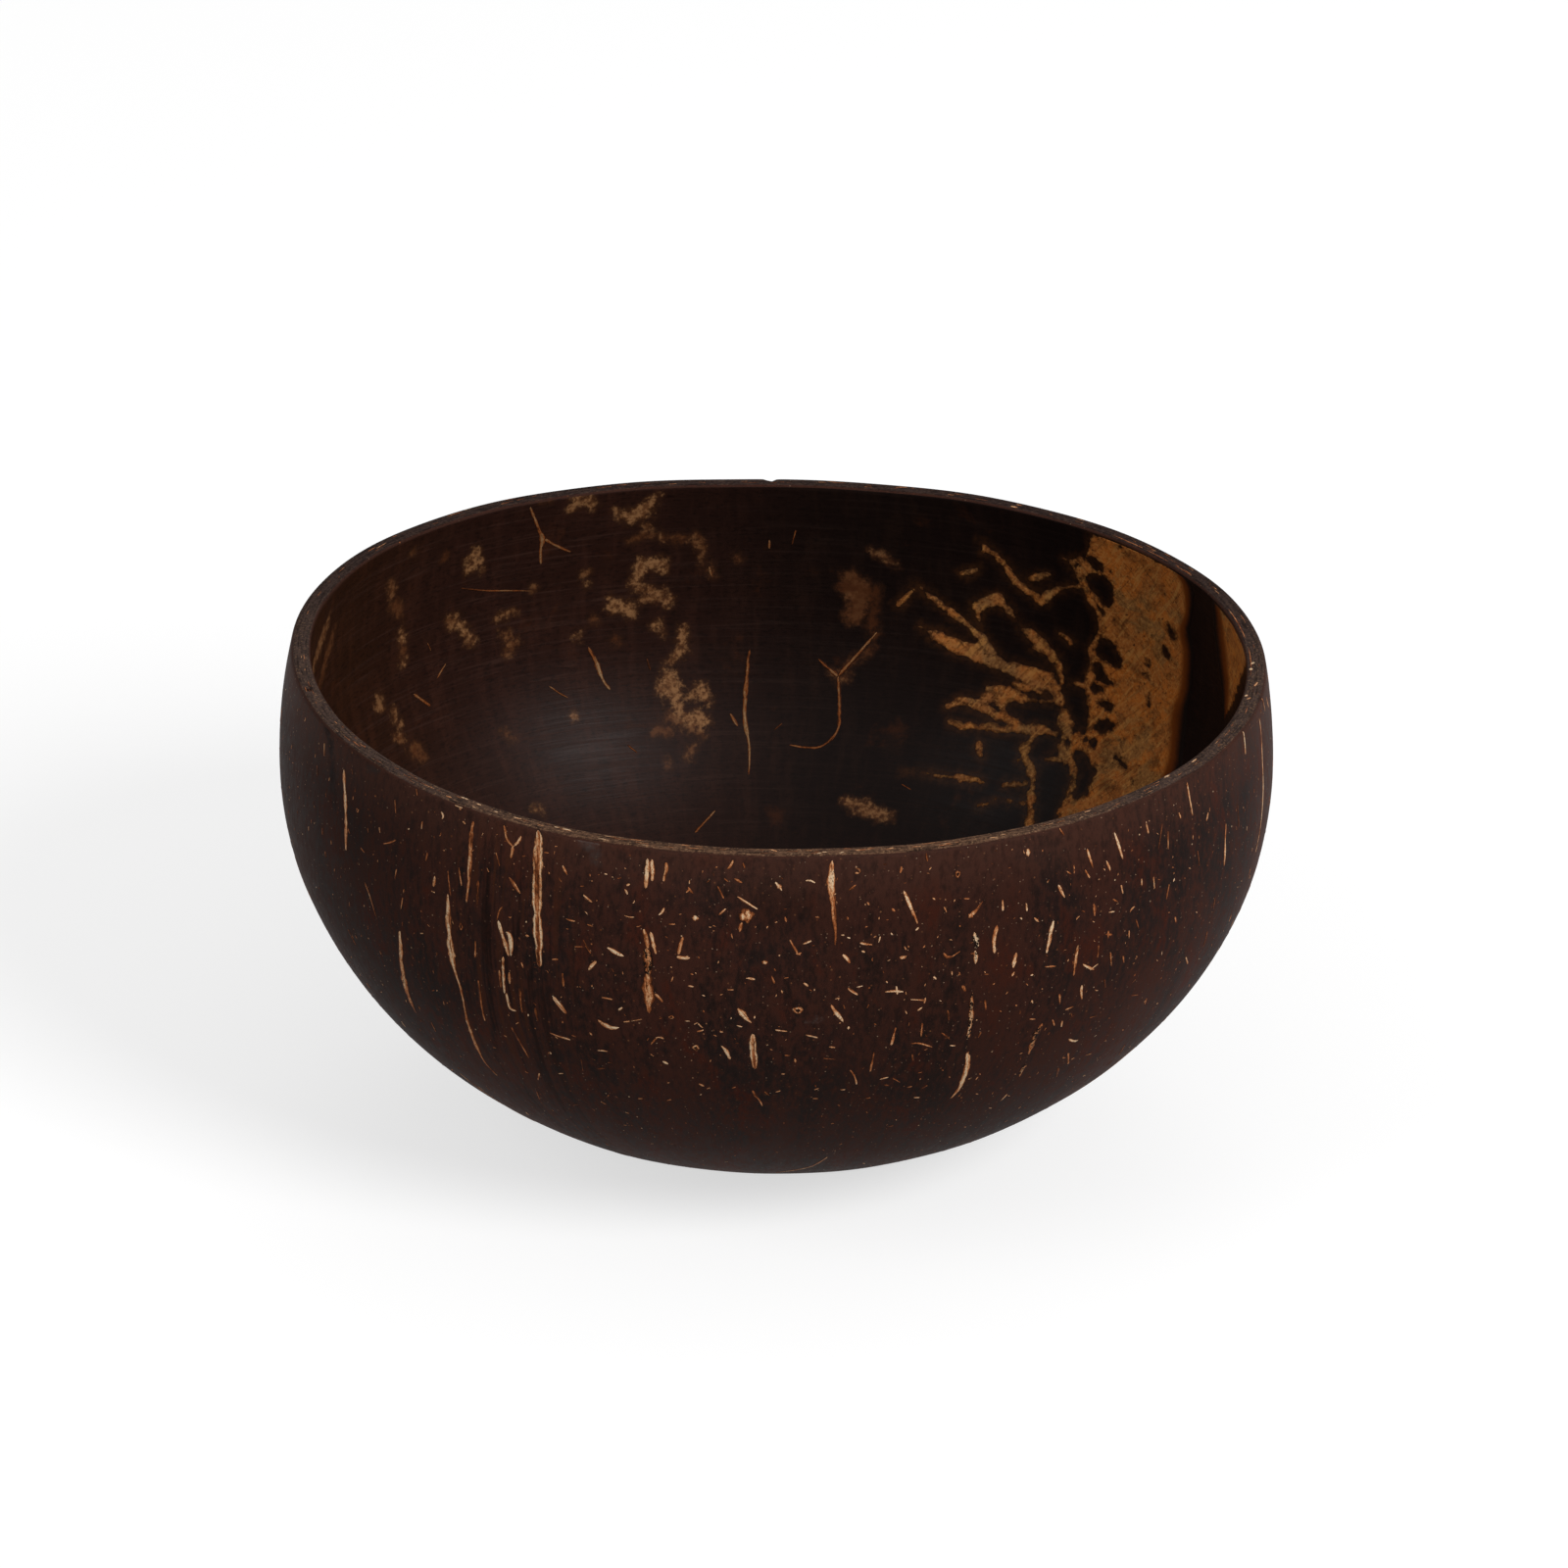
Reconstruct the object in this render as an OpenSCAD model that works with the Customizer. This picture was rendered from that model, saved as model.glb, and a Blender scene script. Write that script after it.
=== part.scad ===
// Coconut shell bowl: the larger part of a nut, cut open, carved out and sanded smooth,
// with the pale fibres of the husk left where they had grown into the shell.
// The origin is the middle of the flat base, +Z is up, and azimuths run from +X towards +Y.

/* [Bowl] */
// Width across the widest ring
bowl_w = 130; // [100:1:180]
// Height from the flat base to the top of the rim
bowl_h = 65; // [50:1:90]
// Height of the band between the widest ring and the rim
neck_h = 15; // [6:0.5:25]
// How far the side draws in over that band
neck_draw = 1.5; // [0:0.1:5]
// Thickness of the shell
wall_t = 2.6; // [2:0.1:6]
// Diameter of the sanded flat that the bowl stands on
base_d = 32; // [16:1:50]
// Thickness left above that flat
floor_t = 2.4; // [1.5:0.1:5]

/* [Outline of the nut from above] */
// Swell along the long axis, and shrinkage across it
oval_swell = 2; // [0:0.1:5]
// Azimuth of the long axis
oval_turn = 2; // [-90:1:90]
// Swell at the three seams of the nut
seam_swell = 0.8; // [0:0.1:2]
// Azimuth of the first seam
seam_turn = 28; // [-60:1:60]
// Swell at four flatter sides
side_swell = 0.5; // [0:0.1:1.5]
// Azimuth of the first of these sides
side_turn = -41; // [-45:1:45]

/* [Rim] */
// Rounding of the outer edge of the rim
rim_outer_r = 0.8; // [0.2:0.1:1.2]
// Rounding of the inner edge of the rim
rim_inner_r = 0.5; // [0.2:0.1:1]

/* [Fibres] */
// Width of the widest strand
strand_w = 1.3; // [0.8:0.1:2.5]
// How deep the outer strands reach into the shell
strand_depth = 0.6; // [0.3:0.1:1.4]
// Width of the widest knot, a bundle of fibres cut across
knot_w = 2.3; // [1:0.1:4]
// How deep the knots reach into the shell
knot_depth = 0.9; // [0.4:0.1:1.6]
// How deep the strands of the inside reach into the shell
inner_depth = 0.45; // [0.3:0.05:1.2]
// How deep the cut ends of strands reach down from the rim
rim_end_depth = 0.7; // [0.3:0.1:2]

/* [Hidden] */

// How far the tool that clears a strand's bed stands out of the shell
overrun = 0.35;
// The bed of a strand is narrower at the bottom by this share
foot_share = 0.6;
// Share of a ring knot's width that is shell again in the middle
core_share = 0.45;
// The rounded edges take at most this share of the wall
edge_limit_share = 0.4;
// Step, as a share of the height, over which the slope of the wall is taken
slope_share = 0.01;

around = 64;
side_steps = 12;
neck_steps = 3;
edge_steps = 2;
strand_sides = 6;
knot_sides = 10;
floor_angle = 5;
slope_angle = 1;

radius = bowl_w / 2;
belly_z = bowl_h - neck_h;
outer_edge = min(rim_outer_r, wall_t * edge_limit_share);
inner_edge = min(rim_inner_r, wall_t * edge_limit_share);

// The side below the widest ring is a quarter of an ellipse, cut off by the base
base_angle = asin(base_d / bowl_w);
side_drop = belly_z / cos(base_angle);
hollow_r = radius - wall_t;
hollow_drop = belly_z - floor_t;

function neck_in(z) = neck_draw * pow((z - belly_z) / neck_h, 2);

function outer_r(z) =
    z < belly_z ? radius * sqrt(1 - pow((belly_z - z) / side_drop, 2)) : radius - neck_in(z);

function inner_r(z) =
    z < belly_z ? hollow_r * sqrt(1 - pow((belly_z - z) / hollow_drop, 2)) : hollow_r - neck_in(z);

// Outline of the nut, swollen and then centred and fitted to the width
function swollen(azimuth) = radius
    + oval_swell * cos(2 * (azimuth - oval_turn))
    + seam_swell * cos(3 * (azimuth - seam_turn))
    + side_swell * cos(4 * (azimuth - side_turn));

azimuths = [for (i = [0 : around - 1]) i * 360 / around];
outline_x = [for (azimuth = azimuths) swollen(azimuth) * cos(azimuth)];
outline_y = [for (azimuth = azimuths) swollen(azimuth) * sin(azimuth)];
middle_x = (max(outline_x) + min(outline_x)) / 2;
middle_y = (max(outline_y) + min(outline_y)) / 2;
fit = bowl_w / (max(outline_x) - min(outline_x));

function ring_point(azimuth, r, z) = [
    (swollen(azimuth) * cos(azimuth) - middle_x) * fit * r / radius,
    (swollen(azimuth) * sin(azimuth) - middle_y) * fit * r / radius,
    z];

// The wall's profile as [radius, height], from the base up the outside, over the rim and down
outer_profile = concat(
    [for (i = [0 : side_steps])
        let (angle = base_angle + (90 - base_angle) * i / side_steps)
        [radius * sin(angle), belly_z - side_drop * cos(angle)]],
    [for (i = [1 : neck_steps])
        let (z = belly_z + (neck_h - 2 * outer_edge) * i / neck_steps)
        [outer_r(z), z]]);
rim_profile = concat(
    [for (i = [0 : edge_steps])
        let (angle = 90 * i / edge_steps)
        [outer_r(bowl_h) - outer_edge * (1 - cos(angle)), bowl_h - outer_edge * (1 - sin(angle))]],
    [for (i = [0 : edge_steps])
        let (angle = 90 * (1 - i / edge_steps))
        [inner_r(bowl_h) + inner_edge * (1 - cos(angle)), bowl_h - inner_edge * (1 - sin(angle))]]);
inner_profile = concat(
    [for (i = [neck_steps : -1 : 1])
        let (z = belly_z + (neck_h - 2 * inner_edge) * i / neck_steps)
        [inner_r(z), z]],
    [for (i = [side_steps : -1 : 0])
        let (angle = floor_angle + (90 - floor_angle) * i / side_steps)
        [hollow_r * sin(angle), belly_z - hollow_drop * cos(angle)]]);
profile = concat(outer_profile, rim_profile, inner_profile);

// The whole wall, before any bed is cut into it
module wall() {
    rings = len(profile);
    points = [for (p = profile) for (azimuth = azimuths) ring_point(azimuth, p[0], p[1])];
    underside = [for (i = [0 : around - 1]) i];
    floor_cap = [for (i = [around - 1 : -1 : 0]) (rings - 1) * around + i];
    skin = [for (ring = [0 : rings - 2]) for (i = [0 : around - 1])
        let (here = ring * around, next = (i + 1) % around)
        each [[here + i, here + around + i, here + around + next],
              [here + i, here + around + next, here + next]]];
    polyhedron(points = points, faces = concat([underside], skin, [floor_cap]), convexity = 4);
}

function outside_point(azimuth, z) = ring_point(azimuth, outer_r(z), z);
function inside_point(azimuth, z) = ring_point(azimuth, inner_r(z), z);

// Turns the Z axis to the direction that stands square on the wall
function square_on(along, up) =
    let (n = cross(along, up))
    [0, acos(n[2] / norm(n)), atan2(n[1], n[0])];

function outside_turn(azimuth, z) =
    let (dz = bowl_h * slope_share)
    square_on(outside_point(azimuth + slope_angle, z) - outside_point(azimuth - slope_angle, z),
              outside_point(azimuth, z + dz) - outside_point(azimuth, z - dz));

function inside_turn(azimuth, z) =
    let (dz = bowl_h * slope_share)
    square_on(inside_point(azimuth - slope_angle, z) - inside_point(azimuth + slope_angle, z),
              inside_point(azimuth, z + dz) - inside_point(azimuth, z - dz));

module bead(width, depth, sides) {
    translate([0, 0, -depth])
        cylinder(d1 = width * foot_share, d2 = width, h = depth + overrun, $fn = sides);
}

// One bead on the outside. A place is [azimuth, share of the height, share of the full width]
module outer_bead(place, width, depth, sides) {
    z = place[1] * bowl_h;
    translate(outside_point(place[0], z))
        rotate(outside_turn(place[0], z))
            bead(width * place[2], depth, sides);
}

module inner_bead(place) {
    z = place[1] * bowl_h;
    translate(inside_point(place[0], z))
        rotate(inside_turn(place[0], z))
            bead(strand_w * place[2], inner_depth, strand_sides);
}

// Strands of the outside: every two neighbouring places of a row are joined
module outer_paths(rows) {
    for (row = rows)
        for (i = [0 : len(row) - 2])
            hull() {
                outer_bead(row[i], strand_w, strand_depth, strand_sides);
                outer_bead(row[i + 1], strand_w, strand_depth, strand_sides);
            }
}

module inner_paths(rows) {
    for (row = rows)
        for (i = [0 : len(row) - 2])
            hull() {
                inner_bead(row[i]);
                inner_bead(row[i + 1]);
            }
}

// Strands that run down the side for a third of its height or so
long_strand_shares = [
    [[-119, 0.985, 1], [-118.5, 0.9, 1], [-118.5, 0.82, 1], [-118, 0.76, 1], [-117.5, 0.71, 0.75]],
    [[-130.5, 0.8, 0.35], [-130, 0.74, 0.7], [-129.5, 0.66, 0.7], [-129.5, 0.6, 0.5],
     [-129.5, 0.54, 0.35], [-130, 0.46, 0.45], [-129, 0.38, 0.25]],
    [[-138.5, 0.68, 0.3], [-139, 0.61, 0.4], [-140, 0.54, 0.65], [-140, 0.48, 0.4]],
    [[-127.5, 0.97, 0.3], [-127.5, 0.91, 0.4], [-127.5, 0.84, 0.4], [-127.5, 0.81, 0.25]],
    [[-151, 0.945, 0.3], [-150, 0.9, 0.5], [-149.5, 0.84, 0.5], [-149, 0.79, 0.25]],
    [[-83, 0.985, 0.4], [-83, 0.955, 0.85], [-83, 0.91, 0.7], [-82.5, 0.865, 0.6],
     [-82.5, 0.81, 0.25]],
    [[-10.5, 0.97, 0.25], [-11, 0.89, 0.3], [-11, 0.83, 0.3], [-12.5, 0.76, 0.25], [-13.5, 0.7, 0.2]],
    [[-65.5, 0.815, 0.4], [-65.5, 0.79, 0.65], [-65.5, 0.75, 0.4]],
    [[-65.5, 0.68, 0.25], [-65.5, 0.635, 0.6], [-65, 0.59, 0.35], [-65.5, 0.57, 0.25]],
    [[-65, 0.535, 0.5], [-64.5, 0.5, 0.6], [-64.5, 0.455, 0.4], [-65, 0.41, 0.25]],
    [[-55.5, 0.575, 0.6], [-55.5, 0.545, 0.75], [-55.5, 0.49, 0.4], [-55.5, 0.43, 0.35]],
];

short_strand_shares = [
    [[-92, 0.61, 0.35], [-92, 0.585, 0.8], [-91.5, 0.53, 0.6], [-91.5, 0.51, 0.25]],
    [[-104.5, 0.975, 0.5], [-104.5, 0.95, 0.95], [-104.5, 0.92, 0.5]],
    [[-102.5, 0.97, 0.3], [-103, 0.935, 0.25]],
    [[-94, 0.915, 0.3], [-91.5, 0.89, 0.3]],
    [[-74.5, 0.92, 0.4], [-73.5, 0.885, 0.4], [-72.5, 0.855, 0.25]],
    [[-63, 0.825, 0.3], [-63, 0.77, 0.35]],
    [[-60, 0.755, 0.4], [-60.5, 0.73, 0.25]],
    [[-55.5, 0.805, 0.25], [-55.5, 0.78, 0.4], [-56, 0.75, 0.3]],
    [[-51.5, 0.735, 0.3], [-52, 0.675, 0.2]],
    [[-82.5, 0.685, 0.3], [-81.5, 0.65, 0.25]],
    [[-110.5, 0.61, 0.4], [-109.5, 0.6, 0.6], [-108, 0.605, 0.4]],
    [[-109, 0.785, 0.45], [-107, 0.77, 0.3]],
    [[-116, 0.65, 0.3], [-114.5, 0.615, 0.3]],
    [[-117, 0.56, 0.25], [-114.5, 0.55, 0.25]],
    [[-93.5, 0.67, 0.4], [-92, 0.645, 0.35]],
    [[-95.5, 0.585, 0.3], [-94.5, 0.555, 0.3]],
    [[-24.5, 0.84, 0.3], [-25, 0.785, 0.45], [-25, 0.765, 0.3]],
    [[-33, 0.985, 0.3], [-32.5, 0.91, 0.2]],
    [[-17.5, 0.985, 0.3], [-18, 0.945, 0.25]],
    [[-46, 0.95, 0.3], [-45, 0.9, 0.25]],
    [[-122, 0.885, 0.35], [-120.5, 0.86, 0.3]],
    [[-132.5, 0.835, 0.3], [-132.5, 0.81, 0.35]],
    [[-111.5, 0.725, 0.3], [-110.5, 0.745, 0.4]],
    [[-80.5, 0.72, 0.4], [-79.5, 0.705, 0.35]],
];

// Strands that split or meet: the rows of one strand share a place
forked_strand_shares = [
    [[-105, 0.83, 0.45], [-104.5, 0.79, 0.5], [-104.5, 0.745, 0.55]],
    [[-104, 0.82, 0.4], [-103.5, 0.785, 0.4], [-104.5, 0.745, 0.55]],
    [[-104.5, 0.745, 0.55], [-104.5, 0.7, 1], [-104.5, 0.65, 0.9]],
    [[-104.5, 0.7, 0.5], [-102.5, 0.68, 0.3]],
    [[-123, 0.79, 0.3], [-122.5, 0.765, 0.5], [-122, 0.735, 0.8], [-121.5, 0.715, 0.3]],
    [[-122.5, 0.765, 0.5], [-121.5, 0.77, 0.25], [-122, 0.735, 0.8]],
    [[-123.5, 0.98, 0.3], [-122, 0.95, 0.35], [-122, 0.925, 0.3]],
    [[-121, 0.97, 0.3], [-122, 0.95, 0.35]],
    [[-100, 0.825, 0.25], [-100.5, 0.785, 0.45], [-99.5, 0.78, 0.3]],
    [[-66, 0.855, 0.55], [-64.5, 0.88, 0.25]],
    [[-69.5, 0.775, 0.5], [-68.5, 0.77, 0.35], [-67.5, 0.785, 0.2]],
];

// Bundles cut across, as rows of [azimuth, share of the height, share of the knot's width]
knot_shares = [
    [[-93, 0.88, 1], [-93.5, 0.855, 0.35]],
    [[-58.5, 0.965, 0.35]],
    [[-59, 0.85, 0.25]],
    [[-74.5, 0.785, 0.35], [-74, 0.78, 0.25]],
    [[-47.5, 0.895, 0.3], [-47, 0.88, 0.2]],
    [[-60.5, 0.705, 0.3]],
    [[-100.5, 0.87, 0.3]],
    [[-107, 0.905, 0.3]],
];
ring_knot_shares = [[-86.5, 0.675, 0.65], [-99, 0.57, 0.5], [-101.5, 0.645, 0.4]];

// Ends of strands cut through at the rim: [azimuth, share across the flat of the rim, share of width]
rim_end_shares = [[-127.5, 0.4, 0.4], [-114.5, 0.6, 0.45], [-110, 0.5, 0.4], [-80.5, 0.35, 0.35],
                  [-13, 0.5, 0.4], [-7.5, 0.45, 0.45]];

inner_strand_shares = [
    [[125, 0.975, 0.3], [123.5, 0.92, 0.55], [123, 0.855, 0.4]],
    [[123.5, 0.92, 0.45], [121, 0.9, 0.3], [118.5, 0.87, 0.25]],
    [[116.5, 0.65, 0.3], [115.5, 0.625, 0.45], [115, 0.595, 0.45], [113.5, 0.56, 0.25]],
    [[94, 0.64, 0.3], [94.5, 0.58, 0.4], [95, 0.5, 0.4], [94.5, 0.43, 0.4], [94, 0.39, 0.25]],
    [[84.5, 0.61, 0.3], [81.5, 0.575, 0.4], [81, 0.51, 0.4], [81, 0.46, 0.4], [84, 0.44, 0.3]],
    [[81.5, 0.575, 0.4], [79, 0.62, 0.25]],
    [[53.5, 0.51, 0.6], [51.5, 0.465, 0.75], [49, 0.415, 0.6], [47, 0.375, 0.45]],
];

module long_strand_beds() outer_paths(long_strand_shares);
module short_strand_beds() outer_paths(short_strand_shares);
module forked_strand_beds() outer_paths(forked_strand_shares);
module inner_strand_beds() inner_paths(inner_strand_shares);

module knot_beds() {
    for (row = knot_shares)
        hull()
            for (place = row)
                outer_bead(place, knot_w, knot_depth, knot_sides);
    for (place = ring_knot_shares)
        difference() {
            outer_bead(place, knot_w, knot_depth, knot_sides);
            outer_bead([place[0], place[1], place[2] * core_share], knot_w, knot_depth, knot_sides);
        }
}

module rim_end_beds() {
    outer = outer_r(bowl_h) - outer_edge;
    inner = inner_r(bowl_h) + inner_edge;
    for (place = rim_end_shares)
        translate(ring_point(place[0], inner + (outer - inner) * place[1], bowl_h))
            rotate([0, 0, place[0]])
                bead(strand_w * place[2], rim_end_depth, strand_sides);
}

// A bed takes from the wall just what its strand fills, so each strand is flush and touches all round
module shell() {
    color([0.23, 0.14, 0.11])
        difference() {
            wall();
            long_strand_beds();
            short_strand_beds();
            forked_strand_beds();
            knot_beds();
            rim_end_beds();
            inner_strand_beds();
        }
}

module seated() {
    intersection() {
        wall();
        children();
    }
}

module long_strands() {
    color([0.8, 0.66, 0.47]) seated() long_strand_beds();
}

module short_strands() {
    color([0.84, 0.7, 0.5]) seated() short_strand_beds();
}

module forked_strands() {
    color([0.86, 0.79, 0.66]) seated() forked_strand_beds();
}

module fibre_knots() {
    color([0.8, 0.6, 0.36]) seated() knot_beds();
}

module rim_strand_ends() {
    color([0.9, 0.84, 0.74]) seated() rim_end_beds();
}

module inner_strands() {
    color([0.62, 0.47, 0.3]) seated() inner_strand_beds();
}

shell();
long_strands();
short_strands();
forked_strands();
fibre_knots();
rim_strand_ends();
inner_strands();
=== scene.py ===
"""Coconut shell bowl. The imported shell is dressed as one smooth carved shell, with husk fibres let
into its outside and paler remains of the nut's inner skin inside, on a plain pale floor.

A place on the wall is an azimuth in degrees, counted from +X towards +Y, and a height in mm.
Marks that were read off the photograph are kept as pixels of its 1600 x 1600 frame, each with a
width in pixels, and wall_places() finds where they lie on the wall that carries them."""
import math

import bpy
import numpy as np
from mathutils import Matrix, Vector


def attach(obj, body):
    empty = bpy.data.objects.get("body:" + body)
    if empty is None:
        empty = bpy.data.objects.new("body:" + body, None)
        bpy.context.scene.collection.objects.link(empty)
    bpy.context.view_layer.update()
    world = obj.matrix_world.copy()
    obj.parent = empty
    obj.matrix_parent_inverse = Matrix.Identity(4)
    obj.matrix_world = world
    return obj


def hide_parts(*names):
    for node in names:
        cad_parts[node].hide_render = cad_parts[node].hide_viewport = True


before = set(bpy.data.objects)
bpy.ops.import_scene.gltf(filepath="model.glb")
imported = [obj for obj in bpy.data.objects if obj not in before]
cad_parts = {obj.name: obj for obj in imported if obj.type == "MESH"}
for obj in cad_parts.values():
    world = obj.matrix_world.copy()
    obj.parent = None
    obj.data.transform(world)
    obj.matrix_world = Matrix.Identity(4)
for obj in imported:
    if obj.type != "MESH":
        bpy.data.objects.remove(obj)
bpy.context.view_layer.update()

MM = 0.001

# ---------------------------------------------------------------- the wall, as in the part's source
BOWL_W, BOWL_H = 130.0, 65.0
NECK_H, NECK_DRAW = 15.0, 1.5
WALL_T, FLOOR_T, BASE_D = 2.6, 2.4, 32.0
RIM_OUTER_R, RIM_INNER_R = 0.8, 0.5
# How uneven sanding leaves the wall, in mm
SANDING = 0.035
RADIUS = BOWL_W / 2
BELLY_Z = BOWL_H - NECK_H
HOLLOW_R = RADIUS - WALL_T
BASE_ANGLE = math.asin(BASE_D / BOWL_W)
SIDE_DROP = BELLY_Z / math.cos(BASE_ANGLE)
HOLLOW_DROP = BELLY_Z - FLOOR_T


def cosd(a):
    return np.cos(np.radians(a))


def sind(a):
    return np.sin(np.radians(a))


def swollen(az):
    """Radius of the nut's outline: long along one axis, and swollen at its seams and sides."""
    return RADIUS + 2.0 * cosd(2 * (az - 2)) + 0.8 * cosd(3 * (az - 28)) + 0.5 * cosd(4 * (az + 41))


_around = np.arange(64) * 360 / 64
_x, _y = swollen(_around) * cosd(_around), swollen(_around) * sind(_around)
MID_X, MID_Y = (_x.max() + _x.min()) / 2, (_y.max() + _y.min()) / 2
FIT = BOWL_W / (_x.max() - _x.min())


def ring(az, r, z):
    """Points in mm at these azimuths, radii and heights, on the nut's outline."""
    az, r, z = np.broadcast_arrays(np.asarray(az, float), np.asarray(r, float), np.asarray(z, float))
    k = FIT * r / RADIUS
    return np.stack([(swollen(az) * cosd(az) - MID_X) * k, (swollen(az) * sind(az) - MID_Y) * k, z], -1)


def wall_r(z, inner):
    top, drop = (HOLLOW_R, HOLLOW_DROP) if inner else (RADIUS, SIDE_DROP)
    z = np.asarray(z, float)
    low = top * np.sqrt(np.clip(1 - ((BELLY_Z - z) / drop) ** 2, 0, 1))
    neck = top - NECK_DRAW * ((z - BELLY_Z) / NECK_H) ** 2
    return np.where(z < BELLY_Z, low, neck)


def smoothstep(x, lo, hi):
    t = np.clip((x - lo) / (hi - lo), 0, 1)
    return t * t * (3 - 2 * t)


def unevenness(az, z, inner):
    """What hand sanding leaves on the wall, in mm. It fades out at the rim and at the base."""
    a = np.radians(az)
    turn = 1.3 if inner else 0.0
    h = (np.sin(5 * a + 0.09 * z + turn) + 0.8 * np.sin(9 * a - 0.13 * z + 2 + turn)
         + 0.6 * np.sin(14 * a + 0.31 * z + 4) + 0.5 * np.sin(0.42 * z + 3 * a + turn))
    return SANDING * h * smoothstep(z, 1.5, 7) * smoothstep(BOWL_H - z, 0.8, 5)


def on_wall(az, z, inner, lift=0.0):
    """Points in mm on the wall, raised by lift, and the directions that stand square on it."""
    az, z = np.broadcast_arrays(np.asarray(az, float), np.asarray(z, float))
    d = 0.2
    floor = FLOOR_T if inner else 0.0
    lo, hi = np.maximum(z - d, floor), np.minimum(z + d, BOWL_H)
    p = ring(az, wall_r(z, inner), z)
    along = ring(az + d, wall_r(z, inner), z) - ring(az - d, wall_r(z, inner), z)
    up = ring(az, wall_r(hi, inner), hi) - ring(az, wall_r(lo, inner), lo)
    n = np.cross(along, up) * (-1 if inner else 1)
    n /= np.linalg.norm(n, axis=-1, keepdims=True)
    return p + n * (unevenness(az, z, inner) + lift)[..., None], n


# Length of the wall's profile below each height, so that (u, v) is a flat map of the wall in mm
CHART_R = 58.0
_z = np.linspace(0, BOWL_H, 1301)


def _profile_length(inner):
    z = np.maximum(_z, FLOOR_T if inner else 0)
    r = wall_r(z, inner)
    return np.concatenate([[0], np.cumsum(np.hypot(np.diff(r), np.diff(z)))])


LENGTHS = {True: _profile_length(True), False: _profile_length(False)}


def chart(az, z, inner):
    return np.stack([np.radians(az) * CHART_R, np.interp(z, _z, LENGTHS[inner])], -1)


def unchart(uv, inner):
    return np.degrees(uv[..., 0] / CHART_R), np.interp(uv[..., 1], LENGTHS[inner], _z)


# ---------------------------------------------------------------- the photograph's camera
ELEVATION, DISTANCE, ROLL = 25.0, 1400.0, 1.4
PX_PER_MM, CENTRE_PX, HALF_FRAME = 7.76, (788.9, 902.0), 800.0
_e, _t = math.radians(ELEVATION), math.radians(ROLL)
_level_down = -np.array([0, math.sin(_e), math.cos(_e)])
RIGHT = math.cos(_t) * np.array([1.0, 0, 0]) - math.sin(_t) * _level_down
DOWN = math.sin(_t) * np.array([1.0, 0, 0]) + math.cos(_t) * _level_down
FORWARD = np.array([0, math.cos(_e), -math.sin(_e)])
MIDDLE = np.array([0, 0, BOWL_H / 2])
CAMERA_AT = (MIDDLE - RIGHT * (CENTRE_PX[0] - HALF_FRAME) / PX_PER_MM
             - DOWN * (CENTRE_PX[1] - HALF_FRAME) / PX_PER_MM - FORWARD * DISTANCE)


def project(p):
    """Pixels at which the photograph's camera sees points given in mm."""
    d = p - CAMERA_AT
    k = PX_PER_MM * DISTANCE / (d @ FORWARD)
    return np.stack([HALF_FRAME + k * (d @ RIGHT), HALF_FRAME + k * (d @ DOWN)], -1)


def _grid(inner):
    az, z = (g.ravel() for g in np.meshgrid(np.arange(-180, 180, 1.0), np.arange(3.5, BOWL_H, 1.0)))
    p, n = on_wall(az, z, inner)
    front = (n @ FORWARD) < -0.02
    return az[front], z[front], project(p[front])


GRIDS = {True: _grid(True), False: _grid(False)}
LOWEST_MARK, HIGHEST_MARK = 3.0, BOWL_H - 0.35


def wall_places(px, inner):
    """Azimuths and heights of the wall's points that the photograph shows at these pixels."""
    px = np.asarray(px, float)
    g_az, g_z, g_px = GRIDS[inner]
    best = ((px[:, None] - g_px[None]) ** 2).sum(-1).argmin(1)
    az, z = g_az[best].copy(), g_z[best].copy()
    d = 0.05
    for _ in range(6):
        miss = px - project(on_wall(az, z, inner)[0])
        ja = (project(on_wall(az + d, z, inner)[0]) - project(on_wall(az - d, z, inner)[0])) / (2 * d)
        jz = (project(on_wall(az, z + d, inner)[0]) - project(on_wall(az, z - d, inner)[0])) / (2 * d)
        det = ja[:, 0] * jz[:, 1] - ja[:, 1] * jz[:, 0]
        det = np.where(np.abs(det) < 1, 1, det)
        az += np.clip((miss[:, 0] * jz[:, 1] - miss[:, 1] * jz[:, 0]) / det, -2, 2)
        z += np.clip((miss[:, 1] * ja[:, 0] - miss[:, 0] * ja[:, 1]) / det, -2, 2)
        z = np.clip(z, LOWEST_MARK, HIGHEST_MARK)
    return az, z


def read_marks(text):
    """Rows of a table of marks: (word of looks, points as an array of x, y and what follows)."""
    rows = []
    for line in text.strip().splitlines():
        look, *points = line.split()
        rows.append((look, np.array([[float(v) for v in p.split(",")] for p in points])))
    return rows


def wall_marks(text, inner, by_pixel=True):
    """Rows of a table as (word of looks, azimuths, heights, widths in mm)."""
    for look, m in read_marks(text):
        az, z = wall_places(m[:, :2], inner) if by_pixel else m[:, :2].T
        yield look, az, z, m[:, 2:] / (PX_PER_MM if by_pixel else 1)


def map_marks(text, inner, by_pixel=True):
    """Rows of a table as (word of looks, points on the flat map, half widths in mm)."""
    return [(look, chart(az, z, inner), width.ravel() / 2)
            for look, az, z, width in wall_marks(text, inner, by_pixel)]


# ---------------------------------------------------------------- small tools
RNG = np.random.default_rng(11)
NOISE_CELLS, FAR = 128, 1e3


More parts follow.
